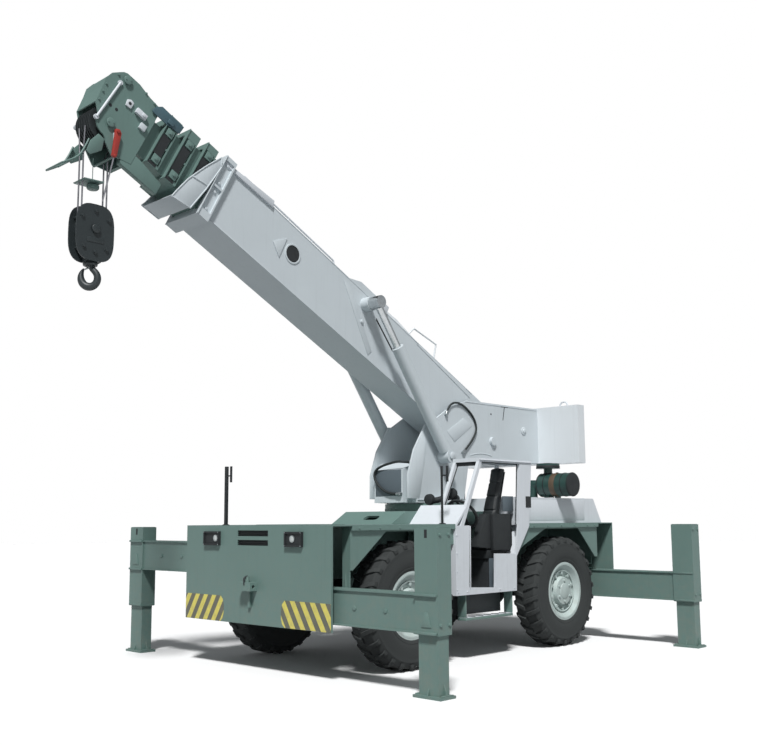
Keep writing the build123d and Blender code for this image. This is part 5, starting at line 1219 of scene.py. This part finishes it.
class CRANE_OT_cab(bpy.types.Operator):
    """Builds the cab's window seals, trim, step, levers, gauges, steering wheel, pedals and panels"""
    bl_idname = "crane.cab"
    bl_label = "Cab"

    def execute(self, context):
        trim = []
        outer = 1168
        frame_line = [at(outer, y, z) for y, z in ((-482, 1502), (-96, 2238), (632, 2238), (592, 1520))]
        for a, b in zip(frame_line, frame_line[1:]):
            trim.append(rod(a, b, 0.014, 10))
        inner = [v - Vector((0.31, 0, 0)) for v in frame_line]
        trim.append(rod(inner[0], inner[1], 0.014, 10))
        trim.append(rod(at(858, -136, 2236), at(outer, -136, 2236), 0.016, 10))
        trim.append(rod(at(858, -478, 1506), at(outer, -478, 1506), 0.016, 10))
        finished(trim, "window_seals", "trim_black", "carrier")
        shell = [tube([at(1216, y, z) for y, z in ((-150, 2262), (400, 2262), (875, 2262))], 0.016),
                 side_plate(BODY_HALF, ((-340, 800), (-352, 800), (-342, 1500), (-330, 1500)), 0.006)]
        shell.append(bolts([at(BODY_HALF, y, 770) for y in (-560, -400, 200, 480)], (1, 0, 0), 0.016, 0.006))
        shell.append(bolts([at(BODY_HALF, -575, z) for z in (800, 1000, 1200, 1400)], (1, 0, 0), 0.016, 0.006))
        finished(shell, "cab_trim", "cab_enamel", "carrier", 0.001)
        tread = []
        for step in range(6):
            y = -360 + step * 144
            tread.append(rod(at(1062, y, 481), at(1168, y, 481), 0.010, 8))
        tread.append(box(at(880, -340, 500), at(1040, 420, 733)))
        finished(tread, "step_treads", "axle_steel", "carrier", 0.001)
        hangers = [box(at(1057, y - 3, 483), at(1173, y + 15, 734)) for y in (-390, 468)]
        hangers.append(box(at(1057, -394, 447), at(1173, 484, 478)))
        finished(hangers, "step_hangers", "carrier_enamel", "carrier", 0.002)
        levers = []
        for index in range(5):
            x = 640 + index * 44
            levers.append(rod(at(x, -330, 1440), at(x + 4, -290, 1700), 0.012, 12))
            levers.append(ball(at(x + 4, -289, 1712), 0.040))
        for x, y, z in GAUGES:
            levers.append(turned([(0, 0), (0, 62), (14, 68), (60, 62), (70, 0)], at(x, y, z), (0, -1, 0), 28))
            levers.append(rod(at(x, y - 20, 1500), at(x, y - 20, z - 50), 0.024, 12))
        levers.append(disc(44, 60, at(780, -40, 1820), (0, -1, 0), 24))
        levers.append(rod(at(600, -300, 1790), at(783, -106, 1850), 0.070, 16))
        levers.append(side_plate(1000, ((-75, 1262), (100, 1640), (600, 1640), (600, 1190)), 0.1))
        levers.append(box(at(860, -136, 2196), at(1166, -126, 2238)))
        levers.append(box(at(520, -330, 1440), at(900, -250, 1560)))
        levers.append(hoop(at(SEAT_X, -150, 1640), (0, 230, 170), 0.380, 0.034, 48))
        levers.append(ball(at(SEAT_X, -138, 1650), 0.10, (1.0, 0.6, 0.6)))
        for x in (880, 1040):
            levers.append(plate([at(x - 34, -330, 800), at(x + 34, -330, 800), at(x + 34, -270, 930),
                                 at(x - 34, -270, 930)], (0.0, -0.008, 0.004)))
            levers.append(rod(at(x, -345, 830), at(x, -380, 820), 0.018, 12))
        finished(levers, "cab_controls", "trim_black", "carrier", 0.0015)
        dials = []
        for x, y, z in GAUGES:
            dials.append(disc(50, 3, at(x, y + 1, z), (0, 1, 0), 28))
        finished(dials, "gauge_faces", "lamp_glass", "carrier")
        panel = [side_plate(1100, ((440, 1669), (640, 1669), (640, 1851), (440, 1851)), -0.020),
                 side_plate(540, ((-500, 800), (480, 800), (480, 1480), (-500, 1480)), 0.010),
                 side_plate(1082, ((160, 780), (475, 780), (475, 1180), (160, 1180)), 0.006)]
        finished(panel, "cab_panels", "slate_paint_and_shade", "carrier", 0.004)
        vent = side_plate(BODY_HALF, ((743, 1714), (851, 1714), (851, 1850), (743, 1850)), 0.003)
        finished(vent, "post_vent", "trim_black", "carrier")
        return {"FINISHED"}


class CRANE_OT_seat(bpy.types.Operator):
    """Builds the operator's seat: its base, a swollen cushion and a tapered back with sewn channels"""
    bl_idname = "crane.seat"
    bl_label = "Seat"

    def pad(self, low, high, lean=0.0, taper=1.0, channels=0):
        """A pad swollen by cloth from a box, leaning back and tapering towards its top."""
        made = box(low, high)
        size = high - low
        pick(made)
        bpy.ops.object.mode_set(mode="EDIT")
        bpy.ops.mesh.select_all(action="SELECT")
        bpy.ops.mesh.subdivide(number_cuts=1)
        bpy.ops.object.mode_set(mode="OBJECT")
        middle = (low.x + high.x) / 2
        for corner in made.data.vertices:
            rise = (corner.co.z - low.z) / size.z
            corner.co.x = middle + (corner.co.x - middle) * (1 - (1 - taper) * rise)
            corner.co.y += lean * rise
        soften = made.modifiers.new("round", "BEVEL")
        soften.width = 0.022
        soften.segments = 3
        bpy.ops.object.modifier_apply(modifier=soften.name)
        weave = made.modifiers.new("even_cloth", "REMESH")
        weave.mode = "VOXEL"
        weave.voxel_size = 0.006
        bpy.ops.object.modifier_apply(modifier=weave.name)
        before = [corner.co.copy() for corner in made.data.vertices]
        cloth = made.modifiers.new("stuffing", "CLOTH")
        cloth.settings.use_pressure = True
        cloth.settings.uniform_pressure_force = 4.0
        cloth.settings.effector_weights.gravity = 0.0
        cloth.point_cache.frame_start = 1
        cloth.point_cache.frame_end = 20
        for step in range(1, 21):
            bpy.context.scene.frame_set(step)
        pick(made)
        bpy.ops.object.modifier_apply(modifier=cloth.name)
        bpy.context.scene.frame_set(1)
        cap = 0.014
        for corner, start in zip(made.data.vertices, before):
            move = corner.co - start
            if move.length > cap:
                corner.co = start + move.normalized() * cap
        front = low.y
        for corner in made.data.vertices:
            rise = (corner.co.z - low.z) / size.z
            for index in range(channels):
                seam = (index + 1) / (channels + 1)
                near = math.exp(-((rise - seam) * size.z / 0.010) ** 2)
                if corner.co.y < front + lean * rise + size.y / 2:
                    corner.co.y += 0.012 * near
        return made

    def execute(self, context):
        x = SEAT_X
        cushion = self.pad(at(x - 180, 122, 1222), at(x + 140, 505, 1328))
        for corner in cushion.data.vertices:
            for seam in (-60, 60):
                near = math.exp(-((corner.co.x - (x + seam) / 1000) / 0.010) ** 2)
                if corner.co.z > at(0, 0, 1290).z:
                    corner.co.z -= 0.010 * near
        made = finished(cushion, "seat_cushion", "seat_vinyl", "carrier", smooth=80.0)
        back = self.pad(at(x - 122, 240, 1345), at(x + 122, 315, 2190), 0.27, 0.72, 4)
        made = finished(back, "seat_back", "seat_vinyl", "carrier", smooth=80.0)
        base = [box(at(x - 145, 155, 765), at(x + 125, 480, 1120)),
                box(at(x - 170, 130, 1120), at(x + 140, 500, 1218)),
                box(at(x + 152, 175, 1215), at(x + 198, 510, 1636)),
                side_plate(x - 84, ((300, 1230), (318, 1230), (582, 2150), (564, 2150)), 0.168)]
        for step in range(5):
            z = 800 + step * 64
            base.append(hoop(at(x - 10, 317, z), (0, 0, 1), 0.300, 0.030, 32))
        made = finished(base, "seat_frame", "trim_black", "carrier", 0.006)
        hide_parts("operator_seat")
        return {"FINISHED"}


class CRANE_OT_stage(bpy.types.Operator):
    """Sets up the pale floor, the sun, the air and the camera"""
    bl_idname = "crane.stage"
    bl_label = "Stage"

    def execute(self, context):
        bpy.ops.object.select_all(action="DESELECT")
        bpy.ops.mesh.primitive_plane_add(size=120.0, location=(0.0, 0.0, 0.0))
        floor = context.object
        floor.name = "studio_floor"
        paper = bpy.data.materials.new("studio_paper")
        paper.use_nodes = True
        tree = paper.node_tree
        tree.nodes.clear()
        pale = add(tree, "ShaderNodeBsdfDiffuse", {"Color": (0.93, 0.93, 0.93, 1.0)})
        dim = add(tree, "ShaderNodeBsdfDiffuse", {"Color": (0.26, 0.27, 0.28, 1.0)})
        path = add(tree, "ShaderNodeLightPath")
        seen = add(tree, "ShaderNodeMath", {"operation": "MAXIMUM"},
                   {0: path.outputs["Is Camera Ray"], 1: path.outputs["Is Glossy Ray"]})
        both = add(tree, "ShaderNodeMixShader", {}, {0: seen.outputs[0], 1: dim.outputs[0], 2: pale.outputs[0]})
        add(tree, "ShaderNodeOutputMaterial", links={"Surface": both.outputs[0]})
        floor.data.materials.append(paper)

        world = bpy.data.worlds.new("studio_air")
        context.scene.world = world
        world.use_nodes = True
        tree = world.node_tree
        tree.nodes.clear()
        way = add(tree, "ShaderNodeTexCoord").outputs["Generated"]
        apart = add(tree, "ShaderNodeSeparateXYZ", links={0: way})
        # brighter near the horizon than overhead, so that upright faces are filled and the shadow stays dark
        level = add(tree, "ShaderNodeMapRange", {"From Min": 0.0, "From Max": 0.6, "To Min": 0.66,
                                                 "To Max": 0.12}, {"Value": apart.outputs["Z"]})
        fill = add(tree, "ShaderNodeBackground", {"Color": (0.93, 0.97, 1.0, 1.0)},
                   {"Strength": level.outputs["Result"]})
        shown = add(tree, "ShaderNodeBackground", {"Color": (1.0, 1.0, 1.0, 1.0), "Strength": 1.0})
        path = add(tree, "ShaderNodeLightPath")
        seen = add(tree, "ShaderNodeMath", {"operation": "MAXIMUM"},
                   {0: path.outputs["Is Camera Ray"], 1: path.outputs["Is Transmission Ray"]})
        both = add(tree, "ShaderNodeMixShader", {},
                   {0: seen.outputs[0], 1: fill.outputs[0], 2: shown.outputs[0]})
        add(tree, "ShaderNodeOutputWorld", links={"Surface": both.outputs[0]})

        bpy.ops.object.light_add(type="SUN", location=(4.0, -4.5, 8.0))
        lamp = context.object
        lamp.name = "soft_sun"
        lamp.data.energy = 3.7
        lamp.data.angle = math.radians(8.0)
        lamp.rotation_euler = Vector((-0.40, 0.45, -0.80)).to_track_quat("-Z", "Y").to_euler()

        yaw, pitch, roll = (math.radians(a) for a in (CAMERA_YAW, CAMERA_PITCH, CAMERA_ROLL))
        ahead = Vector((-math.sin(yaw) * math.cos(pitch), math.cos(yaw) * math.cos(pitch), math.sin(pitch)))
        right = Vector((math.cos(yaw), math.sin(yaw), 0.0))
        up = right.cross(ahead)
        level_right = math.cos(roll) * right + math.sin(roll) * up
        level_up = math.cos(roll) * up - math.sin(roll) * right
        turn = Matrix((level_right, level_up, -ahead)).transposed().to_4x4()
        bpy.ops.object.camera_add()
        camera = context.object
        camera.name = "photo_camera"
        camera.matrix_world = Matrix.Translation(CAMERA_PLACE) @ turn
        camera.data.sensor_width = SENSOR_WIDTH
        camera.data.lens = FOCAL_PIXELS / PHOTO_WIDTH * SENSOR_WIDTH
        camera.data.shift_y = SHIFT_PIXELS / PHOTO_WIDTH
        camera.data.clip_end = 300.0
        context.scene.camera = camera
        context.scene.view_settings.view_transform = "Standard"
        return {"FINISHED"}


OPERATORS = (CRANE_OT_finishes, CRANE_OT_tyres, CRANE_OT_wheels, CRANE_OT_front, CRANE_OT_boom_head,
             CRANE_OT_hook, CRANE_OT_boom, CRANE_OT_hoses, CRANE_OT_turret, CRANE_OT_outriggers, CRANE_OT_decks,
             CRANE_OT_hood, CRANE_OT_mirrors, CRANE_OT_cab, CRANE_OT_seat, CRANE_OT_stage)


class CRANE_PT_panel(bpy.types.Panel):
    """Lists the steps that dress the crane"""
    bl_label = "Crane"
    bl_space_type = "VIEW_3D"
    bl_region_type = "UI"
    bl_category = "Crane"

    def draw(self, context):
        for step in OPERATORS:
            self.layout.operator(step.bl_idname)
        for group in (context.scene.crane_colours, context.scene.crane_sizes):
            for name in group.__annotations__:
                self.layout.prop(group, name)


CLASSES = (CraneColours, CraneSizes) + OPERATORS + (CRANE_PT_panel,)


def register():
    for cls in CLASSES:
        bpy.utils.register_class(cls)
    bpy.types.Scene.crane_colours = bpy.props.PointerProperty(type=CraneColours)
    bpy.types.Scene.crane_sizes = bpy.props.PointerProperty(type=CraneSizes)


def unregister():
    del bpy.types.Scene.crane_sizes
    del bpy.types.Scene.crane_colours
    for cls in reversed(CLASSES):
        bpy.utils.unregister_class(cls)


def main():
    register()
    for step in OPERATORS:
        group, name = step.bl_idname.split(".")
        getattr(getattr(bpy.ops, group), name)()


if __name__ == "__main__":
    main()
